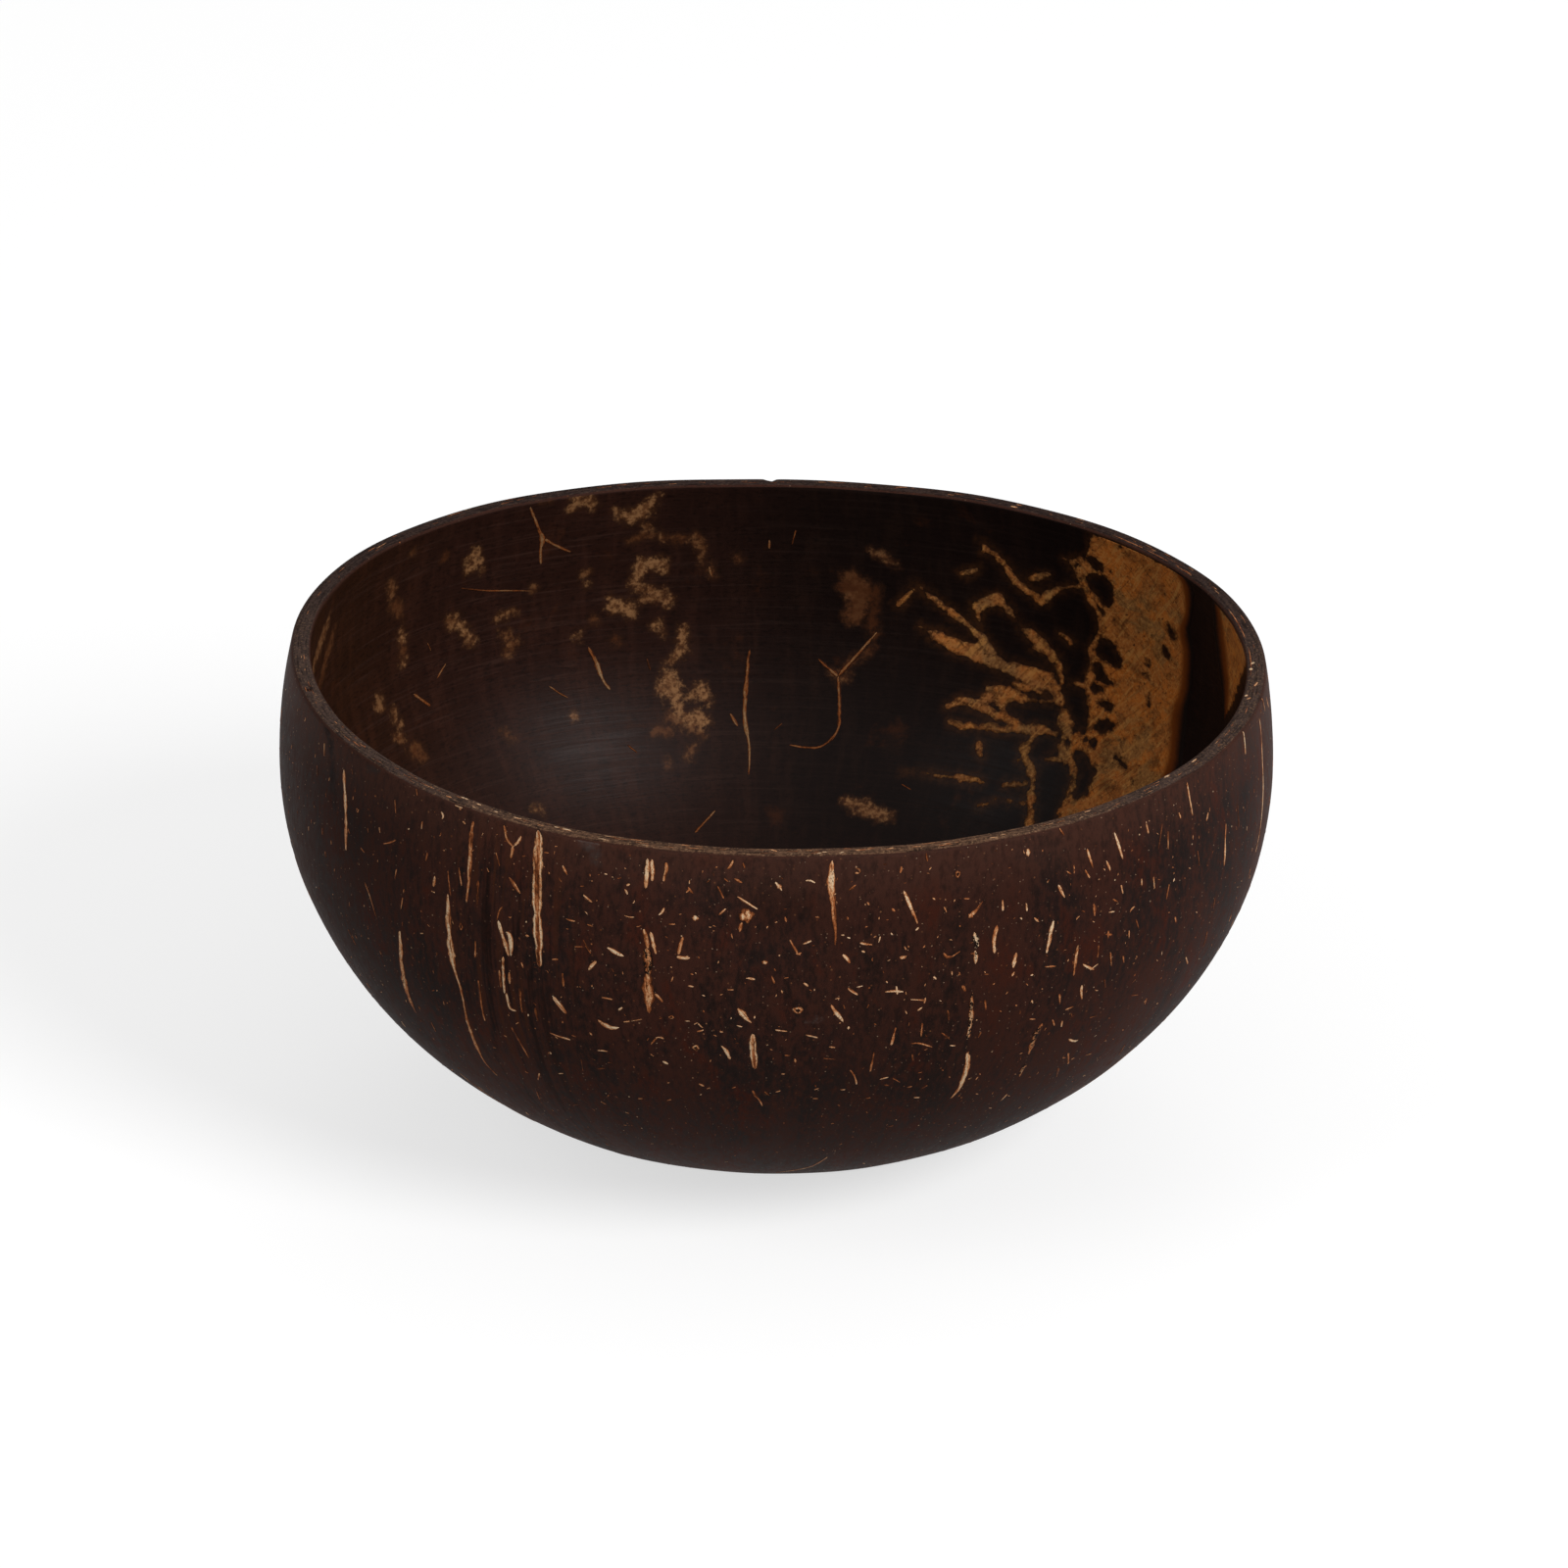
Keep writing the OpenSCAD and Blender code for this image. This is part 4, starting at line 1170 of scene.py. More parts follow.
# Strands and knots of the sides that the photograph hides: azimuth, height and width in mm
BEHIND = """
778665 62,59,0.4 61.5,54,0.9 62,47,1.1 61,40,0.9 63,34,0.5
8875e 96,61,0.7 96.5,54,1.0 96,47,0.9 97,41,0.5
6554 128,55,0.4 129,48,0.6 128,41,0.5 130,35,0.3
7765 141,46,0.3 142,40,0.7 141,34,0.6 143,29,0.3
66544 22,52,0.3 21,44,0.5 22,36,0.5 24,30,0.3
88766k 48,36,0.4 48.5,31,0.9 49,26,0.7 50,22,0.3
99k 78,40,0.4 78.5,36,0.8 78,32,0.4
7765 112,38,0.3 111,33,0.7 112,28,0.6 114,24,0.3
66 155,56,0.3 155.5,49,0.5 155,44,0.3
7654 170,50,0.3 170.5,44,0.6 170,38,0.4
98 108,57,0.3 109.5,54,0.5 111,53,0.3
87 84,58,0.4 86,55.5,0.6 86,53,0.4
887 86,58.5,0.4 84.5,55.5,0.5 86,53,0.5
766 36,46,0.3 37.5,44,0.5 39,43.5,0.3
877 120,46,0.3 118,44.5,0.6 116.5,44.5,0.3
665 5,58,0.3 6,52,0.5 5,47,0.3
776 -8,38,0.3 -7,33,0.6 -8,28,0.3
665 -28,22,0.3 -30,17,0.6 -33,13,0.3
665 -80,15,0.3 -82,11,0.6 -88,8,0.3
776 -140,20,0.3 -138,15,0.6 -136,11,0.3
665 70,20,0.3 72,15,0.6 76,11,0.3
665 -170,40,0.3 -169,35,0.5 -170,30,0.3
"""

BEHIND_KNOTS = """
7k 103,44,2.0,1.7
6 68,52,1.0,0.9
7 133,42,0.9,0.8
6 56,42,0.8,0.7
"""

# Marks on the flat of the rim: tone at the start and at the end, then x, y and width
RIM_MARKS = """
88 473,812,3 480,815,3
88 486,820,3 491,822,4
77 482,823,3 486,825,3
76 504,828,3 508,829,3
77 524,834,3 533,836,3
76 565,843,2 571,844,2
98 574,845,3 578,846,4 583,847,4
97 610,855,3 616,857,4 622,858,3
65 630,859,2 640,861,2
65 655,862,2 664,864,2
65 700,868,2 708,868,2
88 714,871,3 718,871,3
76 733,867,2 741,867,2
75 768,877,3 777,877,4
65 786,867,4 793,869,5
65 806,874,4 813,875,4
87 833,872,4 838,871,4
88 839,870,3 844,870,3
76 856,871,3 861,870,3
65 872,868,3 884,867,3
65 905,866,3 912,865,2
54 930,864,3 940,863,3
76 962,861,3 970,860,3
65 1010,855,3 1018,854,3
87 1066,845,3 1073,843,4
65 1100,836,3 1107,834,3
54 1130,828,3 1136,826,3
98 1185,793,4 1191,790,4
65 1216,778,3 1221,774,3
88 1277,678,5 1279,676,5
88 1273,684,5 1276,682,5
87 1267,709,4 1271,709,5
76 1273,712,4 1276,711,4
65 1280,700,3 1283,696,4
54 917,497,4 926,497,4
76 1029,518,4 1037,519,4
65 1037,515,3 1043,516,3
43 600,493,3 612,491,3
54 700,489,3 712,489,3
65 345,765,3 350,770,3
54 362,778,3 368,783,3
65 392,795,3 398,798,3
54 420,805,3 428,807,3
65 455,812,3 461,814,3
54 1128,549,2 1162,560,2
43 1166,562,1.5 1190,573,2
32 1196,577,1.5 1214,588,1.5
43 1250,622,2 1262,652,2
32 1263,660,1.5 1266,690,1.5
"""


# ---------------------------------------------------------------- the shell
def spaced(lo, hi, step):
    return np.linspace(lo, hi, max(1, round((hi - lo) / step)), endpoint=False)


COLUMNS = np.concatenate([spaced(-180, -169, 1.5), spaced(-169, -166, 0.4), spaced(-166, -136, 1.6),
                          spaced(-136, -108, 0.6), spaced(-108, 5, 1.6), spaced(5, 26, 0.8),
                          spaced(26, 152, 0.6), spaced(152, 180, 0.8)])
CHIP_AZ, PIT_AZ, STREAKY_AZ = 91.6, -167.4, -122.0
CHIP_DEPTH, PIT_DEPTH = 0.42, 0.3
SIDE_ROWS, NECK_ROWS, EDGE_ROWS, FLAT_ROWS = 52, 22, 8, 6
HOLLOW_NECK_ROWS, HOLLOW_SIDE_ROWS, HOLLOW_FLOOR_ROWS = 20, 46, 30
# Where the grain's third coordinate starts on the rim and in the hollow, so that no two surfaces share one
RIM_GRAIN, HOLLOW_GRAIN = 100, 110


def profile_slope(z):
    """How far the neck leans in at this height, as an angle in radians."""
    return math.atan(2 * NECK_DRAW * (z - BELLY_Z) / NECK_H ** 2)


def rim_wave(az):
    """How far the hand-cut rim stands above or below its height, in mm."""
    return 0.05 * np.sin(np.radians(az) * 7) + 0.04 * np.sin(np.radians(az) * 17 + 1) - 0.09


def build_shell():
    rows, zone = [], []

    def wall_row(z, inner):
        rows.append(on_wall(COLUMNS, z, inner)[0])
        zone.append((z, inner, 0.0))

    def free_row(r, z, inner, rim):
        rows.append(ring(COLUMNS, r, z))
        zone.append((z, inner, rim))

    for r in (0.35, 0.7, 0.93):
        free_row(BASE_D / 2 * r, 0.0, False, 0.0)
    for angle in np.linspace(BASE_ANGLE, math.pi / 2, SIDE_ROWS)[:-1]:
        wall_row(BELLY_Z - SIDE_DROP * math.cos(angle), False)
    lean = profile_slope(BOWL_H - RIM_OUTER_R)
    top_z = BOWL_H - RIM_OUTER_R + RIM_OUTER_R * math.sin(lean)
    for z in np.linspace(BELLY_Z, top_z, NECK_ROWS)[:-1]:
        wall_row(z, False)
    outer_c = float(wall_r(top_z, False)) - RIM_OUTER_R * math.cos(lean)
    for k, a in enumerate(np.linspace(lean, math.pi / 2, EDGE_ROWS)):
        free_row(outer_c + RIM_OUTER_R * math.cos(a), BOWL_H - RIM_OUTER_R * (1 - math.sin(a)), False,
                 min(1.0, max(0.0, (k - 2) / 4)))
    lean = profile_slope(BOWL_H - RIM_INNER_R)
    low_z = BOWL_H - RIM_INNER_R - RIM_INNER_R * math.sin(lean)
    inner_c = float(wall_r(low_z, True)) + RIM_INNER_R * math.cos(lean)
    for k in range(1, FLAT_ROWS):
        free_row(outer_c + (inner_c - outer_c) * k / FLAT_ROWS, BOWL_H, False, 1.0)
    for k, a in enumerate(np.linspace(math.pi / 2, math.pi + lean, EDGE_ROWS)[:-1]):
        free_row(inner_c + RIM_INNER_R * math.cos(a), BOWL_H - RIM_INNER_R * (1 - math.sin(a)), k > 4,
                 max(0.0, 1.0 - k / 5))
    for z in np.linspace(low_z, BELLY_Z, HOLLOW_NECK_ROWS)[:-1]:
        wall_row(z, True)
    for angle in np.concatenate([np.linspace(0, 40, HOLLOW_SIDE_ROWS)[:-1],
                                 np.linspace(40, 88, HOLLOW_FLOOR_ROWS)]):
        wall_row(BELLY_Z - HOLLOW_DROP * math.sin(math.radians(angle)), True)

    co = np.array(rows)
    az = np.broadcast_to(COLUMNS, co.shape[:2])
    z, inner, rim = (np.broadcast_to(column[:, None], az.shape) for column in np.array(zone, float).T)

    # The rim is hand cut: it waves a little, and it is chipped at the back and at the left
    outward = np.linalg.norm(co[..., :2], axis=-1) - np.linalg.norm(ring(az, outer_c, z)[..., :2], axis=-1)
    at_top = smoothstep(co[..., 2], BOWL_H - 3, BOWL_H)
    chip = (np.exp(-((az - CHIP_AZ) / 0.5) ** 2) * smoothstep(outward, -0.9, 0.5)
            * smoothstep(z, BOWL_H - 1.2, BOWL_H - 0.3))
    pit = np.exp(-((az - PIT_AZ) / 0.45) ** 2) * np.exp(-((outward + 0.3) / 0.45) ** 2) * (rim > 0.5)
    co[..., 2] += at_top * rim_wave(az) - CHIP_DEPTH * chip - PIT_DEPTH * pit

    rings, around = az.shape
    index = np.arange(rings * around).reshape(rings, around)
    nxt = np.roll(index, -1, axis=1)
    faces = np.stack([index[:-1], nxt[:-1], nxt[1:], index[1:]], -1).reshape(-1, 4).tolist()
    base_mid, floor_mid = rings * around, rings * around + 1
    faces += [[base_mid, int(b), int(a)] for a, b in zip(index[0], nxt[0])]
    faces += [[floor_mid, int(a), int(b)] for a, b in zip(index[-1], nxt[-1])]
    points = np.vstack([co.reshape(-1, 3), [[0.0, 0.0, 0.0], [0.0, 0.0, FLOOR_T]]])

    # Values that the materials read. grain unrolls the wall, so that its pattern isn't squeezed
    def flat(values, at_base=0.0, at_floor=0.0):
        return np.append(values.ravel(), [at_base, at_floor])

    f_az, f_z, f_in, f_rim = flat(az), flat(z, 0, FLOOR_T), flat(inner, 0, 1), flat(rim)
    outer_arc, inner_arc = (np.interp(f_z, _z, LENGTHS[k]) for k in (False, True))
    arc = np.where(f_in > 0.5, HOLLOW_GRAIN - inner_arc, outer_arc)
    arc = np.where(f_rim > 0, RIM_GRAIN - flat(outward), arc)
    grain = np.stack([RADIUS * cosd(f_az), RADIUS * sind(f_az), arc], -1)
    cloud, cloud_tone = mark_field(f_az, f_z, f_in > 0.5, f_rim)
    span = np.abs(f_az)
    off_floor = smoothstep(f_z, FLOOR_T + 1, 24)
    warm = smoothstep(span, 130, 170) * (0.7 + 0.3 * noise2(span, f_z, 7, 5))
    # painted_shade_and_stain: painted shade over the left side and a broad place at the front right, and a
    # dark stain at the front below the rim
    dark_az, dark_z = (float(v[0]) for v in wall_places(np.array([[801.0, 916.0]]), False))
    painted_shade_and_stain = (smoothstep(span, 128, 152) + 0.5 * np.exp(-((f_az + 66) / 26) ** 2)
             + 0.6 * np.exp(-((f_az - dark_az) / 5) ** 2 - ((f_z - dark_z) / 4) ** 2))
    attributes = {
        "grain": grain, "rim": f_rim, "low": 1 - off_floor,
        "warm": np.maximum(warm, 0.2 * smoothstep(span, 40, 5)) * off_floor,
        # neck: where the outside is lightened below the rim, partly as painted light
        "neck": smoothstep(f_z, BOWL_H - 9, BOWL_H - 0.5),
        # left: painted light on the inside, 1 on the left half that takes the light, 0 on the right, and a
        # half share in the middle of the floor
        "left": 0.5 + (smoothstep(span, 78, 118) - 0.5) * off_floor,
        # front: 1 at the front and 0 at the back, for the rim's painted light at the front and painted shade
        # at the back
        "front": (smoothstep(-sind(f_az), -0.5, 0.1) + smoothstep(-sind(f_az), 0.6, 0.97)) / 2,
        "halo": skin_halo(f_az, f_z, f_in > 0.5), "painted_shade_and_stain": painted_shade_and_stain,
        "streaky": np.exp(-((f_az - STREAKY_AZ) / 8) ** 2) + 0.7 * np.exp(-((f_az - 40) / 14) ** 2),
        "cloud": cloud, "cloud_tone": cloud_tone, "pit": flat(np.maximum(pit, 0.8 * chip)),
    }
    shell = make_object("bowl_shell", points, faces, attributes, OUTSIDE, INSIDE)
    row_in = inner[:-1] * inner[1:] > 0.5
    is_inside = np.concatenate([row_in.ravel(), np.zeros(around, bool), np.ones(around, bool)])
    shell.data.polygons.foreach_set("material_index", is_inside.astype(np.int32))
    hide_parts("shell")


def mark_field(az, z, inside, rim):
    """For each point: distance in mm into the nearest cloud, stain or worn place with a painted highlight,
    and how light that one is.
    """
    best, tone = np.full(len(az), -6.0), np.full(len(az), 0.5)
    for text, inner, by_pixel in ((CLOUDS, True, True), (STAINS_AND_GLINT, False, True), (WITHIN_FRONT, True, False)):
        on, uv = inside if inner else ~inside & (rim == 0), chart(az, z, inner)
        for look, path, half in map_marks(text, inner, by_pixel):
            reach = half.max() + 4
            near = on & (uv >= path.min(0) - reach).all(1) & (uv <= path.max(0) + reach).all(1)
            d = stroke_distance(uv[near], path, half)
            better = d > best[near]
            rows = np.flatnonzero(near)[better]
            best[rows], tone[rows] = d[better], int(look) / 9
    return best, tone


# ---------------------------------------------------------------- the inner skin
def edge_fade(uv, pairs):
    """1 where the skin has its full colour and 0 beyond its soft edge, from pairs of map points."""
    order = np.argsort(pairs[:, 1])
    full = np.interp(uv[:, 1], pairs[order, 1], pairs[order, 0])
    none = np.interp(uv[:, 1], pairs[order, 3], pairs[order, 2])
    gap = full - none
    return np.clip((uv[:, 0] - none) / np.where(np.abs(gap) < 0.3, 0.3 * np.sign(gap), gap), 0, 1)


SKIN_PATCH, SKIN_STRIP = (map_marks(text, True)[0][1] for text in (PATCH, STRIP))
SKIN_RAYS, SKIN_ISLANDS = (map_marks(text, True) for text in (RAYS, ISLANDS))
SKIN_FADES = {look: np.column_stack([chart(*wall_places(m[:, k:k + 2], True), True) for k in (0, 2)])
              for look, m in read_marks(SOFT_EDGES)}
_outlines = np.vstack([SKIN_PATCH, SKIN_STRIP] + [path for _, path, _ in SKIN_RAYS])
SKIN_LOW, SKIN_HIGH = _outlines.min(0) - 1.5, _outlines.max(0) + 1.5


def skin_field(uv):
    """Depth in mm into the inner skin at map points, and its lightness and its fade."""
    strip_depth = polygon_distance(uv, SKIN_STRIP)
    depth = np.maximum(polygon_distance(uv, SKIN_PATCH), strip_depth)
    tone = np.full(len(uv), 1.0)
    for look, path, half in SKIN_RAYS:
        d = stroke_distance(uv, path, half)
        share = smoothstep(d - depth, -0.8, 0.8)
        tone = tone * (1 - share) + int(look) / 8 * share
        depth = np.maximum(depth, d)
    for look, path, half in SKIN_ISLANDS:
        d = polygon_distance(uv, path) if look == "p" else stroke_distance(uv, path, half)
        depth = np.minimum(depth, -d)
    fade = np.where(strip_depth > -1, edge_fade(uv, SKIN_FADES["strip"]), edge_fade(uv, SKIN_FADES["patch"]))
    for share, cell, seed in ((0.5, 0.9, 21), (0.45, 0.45, 22), (0.5, 2.2, 23)):
        depth = depth + share * (noise2(*uv.T, cell, seed) - 0.5)
    return np.minimum(depth, fade * 4 - 0.1), tone, fade


def skin_halo(az, z, inside):
    """How near each point of the wall lies to the inner skin's edge: 1 at the edge, 0 at 1.3 mm from it."""
    uv = chart(az, z, True)
    near = inside & (uv > SKIN_LOW).all(1) & (uv < SKIN_HIGH).all(1)
    halo = np.zeros(len(uv))
    depth, _, fade = skin_field(uv[near])
    halo[near] = smoothstep(depth, -1.3, 0.1) * smoothstep(fade, 0.3, 0.9)
    return halo


# In mm: squares of the map, how far the skin stands out at its edge and further in, and its thickness
SKIN_CELL, SKIN_LIFT, SKIN_DOME, SKIN_THICK = 0.24, 0.012, 0.03, 0.15


def build_lining():
    """Remains of inner skin, cut out of a fine map of the wall along the line where their depth is 0."""
    lo, hi = SKIN_LOW, np.minimum(SKIN_HIGH, [FAR, chart(0, BOWL_H - 0.75, True)[1]])
    us, vs = np.arange(lo[0], hi[0], SKIN_CELL), np.arange(lo[1], hi[1] + SKIN_CELL, SKIN_CELL)
    vs[-1] = hi[1]
    uv = np.stack([g.ravel() for g in np.meshgrid(us, vs, indexing="ij")], -1)
    depth, tone, fade = skin_field(uv)
    smudge = np.zeros(len(uv))
    for look, path, half in map_marks(SMUDGES, True):
        d = stroke_distance(uv, path, half)
        smudge = np.maximum(smudge, int(look) / 6 * smoothstep(d, -0.6, 0.6))
    values = {"tone": tone, "fade": fade, "smudge": smudge}
    piece = cut_skin(us, vs, depth, values)
    skin = make_object("inner_skin_patch", *piece, LINING)


def cut_skin(us, vs, flat, values):
    """A thin closed sheet on the inner wall, where depth on the map is above 0, cut square by square."""
    nu, nv = len(us), len(vs)
    uv, depths, data, where = [], [], {k: [] for k in values}, {}

    def point(i, j):
        """A corner of the grid where i is j, and else the place between i and j where the depth is 0."""
        key = (min(i, j), max(i, j))
        if key not in where:
            where[key] = len(uv)
            t = 0.0 if i == j else min(max(flat[i] / (flat[i] - flat[j]), 0.02), 0.98)
            a, b = (us[i // nv], vs[i % nv]), (us[j // nv], vs[j % nv])
            uv.append((a[0] + (b[0] - a[0]) * t, a[1] + (b[1] - a[1]) * t))
            depths.append(flat[i] if i == j else 0.0)
            for k in data:
                data[k].append(values[k][i] * (1 - t) + values[k][j] * t)
        return where[key]

    top = []
    for i in range(nu - 1):
        for j in range(nv - 1):
            c = (i * nv + j, (i + 1) * nv + j, (i + 1) * nv + j + 1, i * nv + j + 1)
            inside = [flat[k] > 0 for k in c]
            if not any(inside):
                continue
            if inside[0] == inside[2] and inside[1] == inside[3] and inside[0] != inside[1]:
                top += [[point(c[k], c[k]), point(c[k], c[(k + 1) % 4]), point(c[k], c[k - 1])]
                        for k in range(4) if inside[k]]
                continue
            poly = []
            for k in range(4):
                a, b = c[k], c[(k + 1) % 4]
                if inside[k]:
                    poly.append(point(a, a))
                if inside[k] != inside[(k + 1) % 4]:
                    poly.append(point(a, b))
            top.append(poly)

    uv, depths = np.array(uv), np.array(depths)
    az, z = unchart(uv, True)
    lift = SKIN_LIFT + SKIN_DOME * smoothstep(depths, 0, 0.5)
    upper = on_wall(az, z, True, lift)[0]
    lower = on_wall(az, z, True, SKIN_LIFT - SKIN_THICK)[0]
    n = len(uv)
    # The map's u runs against the view from inside, so the top faces turn round
    faces = [p[::-1] for p in top] + [[k + n for k in p] for p in top]
    edges = {(a, b) for p in top for a, b in zip(p, p[1:] + p[:1])}
    faces += [[a, b, b + n, a + n] for a, b in sorted(edges) if (b, a) not in edges]
    attributes = {k: np.tile(v, 2) for k, v in data.items()}
    attributes["inset"] = np.tile(depths, 2)
    attributes["map"] = np.tile(np.column_stack([uv, 0 * depths]), (2, 1))
    return np.vstack([upper, lower]), faces, attributes


# ---------------------------------------------------------------- strands
TOP_Z = BOWL_H - 0.3
POINT_GAP, FEWEST_RINGS, MOST_RINGS = 0.25, 7, 110
# How far in mm the edge of a strand lies below the wall
SUNK = 0.014


def breaks(look):
    """How broken a strand is: k stands for some dark breaks and K for many."""
    return 1.0 if "K" in look else 0.45 if "k" in look else 0.0


class Inlay:
    """Collects strands, flecks and knots that are let into the wall, as closed lens-shaped bodies."""

    def __init__(self):
        self.co, self.faces, self.count = [], [], 0
        self.values = {k: [] for k in ("across", "tone", "edged", "broken", "thread")}

    def add(self, co, faces, **values):
        self.faces += [[k + self.count for k in f] for f in faces]
        self.co.append(co)
        self.count += len(co)
        self.values["thread"].append(values.pop("thread"))
        for key, value in values.items():
            self.values[key].append(np.broadcast_to(value, len(co)).astype(float))

    def strand(self, az, z, width, tones, edged=0.0, broken=0.0, inner=False, proud=0.04):
        """A strand through places on the wall, as wide in mm as given at each, pointed at both ends."""
        path = np.column_stack([chart(az, z, inner), width])
        for _ in range(2):
            if len(path) > 2:
                a, b = path[:-1], path[1:]
                mid = np.stack([a * 0.75 + b * 0.25, a * 0.25 + b * 0.75], 1).reshape(-1, 3)
                path = np.vstack([path[:1], mid[1:-1], path[-1:]])
        run = np.concatenate([[0], np.cumsum(np.linalg.norm(np.diff(path[:, :2], axis=0), axis=1))])
        length, widest = run[-1], max(width)
        n = int(np.clip(length / POINT_GAP, FEWEST_RINGS, MOST_RINGS))
        s = length * (0.5 - 0.5 * np.cos(np.linspace(0, math.pi, n))) if n < 12 else np.linspace(0, length, n)
        u, v, w = (np.interp(s, run, path[:, k]) for k in range(3))
        seed = RNG.random() * 60

        def uneven(shift, cell, pattern):
            return noise2(s + seed * shift, seed, cell, pattern) - 0.5

        wobble = 1 + 0.5 * uneven(7, 1.3, 31) + (0.6 - 0.35 * min(edged, 1)) * uneven(5, 0.45, 32)
        near_end = np.clip(np.minimum(s, length - s) / (1.3 * w + 1e-6), 0, 1)
        ends = np.maximum(np.sqrt(1 - (1 - near_end) ** 2), 0.06)
        half = w / 2 * wobble * ends * 1.08
        side = np.stack([-np.gradient(v), np.gradient(u)], -1)
        side /= np.linalg.norm(side, axis=1, keepdims=True) + 1e-9
        drift = 0.16 * w * uneven(3, 1.2, 33)
        a = np.array([-1, -0.8, -0.5, 0, 0.5, 0.8, 1]) if widest > 0.5 else np.array([-1, -0.55, 0, 0.55, 1])
        b = np.array([0.6, -0.6])

        def places(shares):
            reach = half[:, None] * shares + drift[:, None]
            uv = np.stack([u[:, None] + side[:, :1] * reach, v[:, None] + side[:, 1:] * reach], -1)
            az_p, z_p = unchart(uv, inner)
            return az_p, np.minimum(z_p, TOP_Z)

        lift = (proud + SUNK) * (1 - a ** 2) * np.sqrt(ends)[:, None] - SUNK
        top = on_wall(*places(a), inner, lift)[0]
        under = on_wall(*places(b), inner, -0.05 - 0.35 * half[:, None])[0]
        co = np.concatenate([top, under], 1)
        m = co.shape[1]
        share = np.repeat(s / max(length, 1e-6), m)
        thread = np.column_stack([np.outer(half, np.concatenate([a, b])).ravel() + seed, np.repeat(s, m),
                                  np.full(n * m, seed * 1.7)])
        self.add(co.reshape(-1, 3), tube_faces(n, m, inner), thread=thread, edged=edged, broken=broken,
                 across=np.broadcast_to(np.concatenate([a, b * 1.5]), (n, m)).ravel(),
                 tone=np.interp(share, np.linspace(0, 1, len(tones)), tones))

    def knot(self, az, z, wide, high, tone, edged=0.0, broken=0.0, proud=0.06):
        """A bundle of fibres that the surface cuts across: an uneven disc with a domed top."""
        sides, shares = 22, (0.3, 0.55, 0.8, 1.0)
        seed = RNG.random() * 60
        th = np.linspace(0, 2 * math.pi, sides, endpoint=False)
        out = 1 + 0.5 * (noise2(np.cos(th) * 3 + seed, np.sin(th) * 3 + seed, 1.2, 41) - 0.5)
        middle = chart(az, z, False)
        co, across, thread = [], [], []
        for share, lift in [(k, (proud + SUNK) * (1 - k ** 2) - SUNK) for k in shares] + [(0.8, -0.3)]:
            offset = np.stack([np.cos(th) * wide / 2, np.sin(th) * high / 2], -1) * (share * out)[:, None]
            az_p, z_p = unchart(middle + offset, False)
            co.append(on_wall(az_p, np.minimum(z_p, TOP_Z), False, lift)[0])
            across.append(np.full(sides, share))
            thread.append(np.column_stack([offset[:, 0] + seed, offset[:, 1] * 4, np.full(sides, seed)]))
        co.append(on_wall(az, z, False, proud)[0])
        low, top_mid = len(shares) * sides, (len(shares) + 1) * sides
        pairs = [(i, (i + 1) % sides) for i in range(sides)]
        faces = [[r + i, r + sides + i, r + sides + j, r + j] for r in range(0, low, sides) for i, j in pairs]
        faces += [[top_mid, i, j] for i, j in pairs]
        faces.append([low + i for i in range(sides)][::-1])
        self.add(np.vstack(co), faces, thread=np.vstack(thread + [[seed, 0, seed]]), tone=tone, edged=edged,
                 broken=broken, across=np.append(np.concatenate(across), 0))

    def marks(self, text, inner=False, by_pixel=True, slim=1.0, fade=1.0):
        for look, az, z, width in wall_marks(text, inner, by_pixel):
            tones = [fade * int(c) / 9 for c in look if c.isdigit()]
            self.strand(az, z, slim * width[:, 0], tones, float("e" in look), breaks(look), inner)

    def knots(self, text, edged=0.0, by_pixel=True):
        for look, az, z, size in wall_marks(text, False, by_pixel):
            self.knot(az[0], z[0], *size[0], int(look[0]) / 9, edged, breaks(look))

    def build(self, name, material, slot, *nodes):
        values = {k: np.vstack(v) if k == "thread" else np.concatenate(v) for k, v in self.values.items()}
        obj = make_object(name, np.vstack(self.co), self.faces, values, material)
        if nodes:
            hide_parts(*nodes)


def build_strands():
    for name, text, node in (("strands_long", LONG, "long_strands"),
                             ("strands_short", SHORT, "short_strands"),
                             ("strands_forked", FORKED, "forked_strands")):
        inlay = Inlay()
        inlay.marks(text)
        inlay.build(name, FIBRE, "husk_fibre", node)

    bundles = Inlay()
    bundles.knots(KNOTS)
    bundles.marks(KNOT_ARCS)
    bundles.knots(RINGS, edged=1.5)
    bundles.build("fibre_bundles", FIBRE, "husk_fibre", "fibre_knots")

    behind = Inlay()
    behind.marks(BEHIND, by_pixel=False)
    behind.knots(BEHIND_KNOTS, by_pixel=False)
    behind.build("strands_behind", FIBRE, "husk_fibre")

    within = Inlay()
    within.marks(INNER_STRANDS, True, slim=1.1)
    within.build("strands_inside", INNER_FIBRE, "inner_fibre", "inner_strands")
    hairs = Inlay()
    hairs.marks(INNER_HAIRS, True)
    hairs.marks(WITHIN_STRANDS, True, by_pixel=False)
    hairs.build("hairs_inside", INNER_FIBRE, "inner_fibre")


def fleck(inlay, az, z, length, width, heading, bend, tones):
    """A short fibre at a place on the outside, bent a little, at this heading on the map."""
    t = np.linspace(-0.5, 0.5, 3)
    c, s = math.cos(heading), math.sin(heading)
    uv = chart(az, z, False) + length * np.stack([t * c - bend * t ** 2 * s, t * s + bend * t ** 2 * c], -1)
    a, h = unchart(uv, False)
    if 1.5 < h.min() and h.max() < BOWL_H - 0.9:
        inlay.strand(a, h, np.array([0.75, 1.0, 0.65]) * width, tones, proud=0.025)


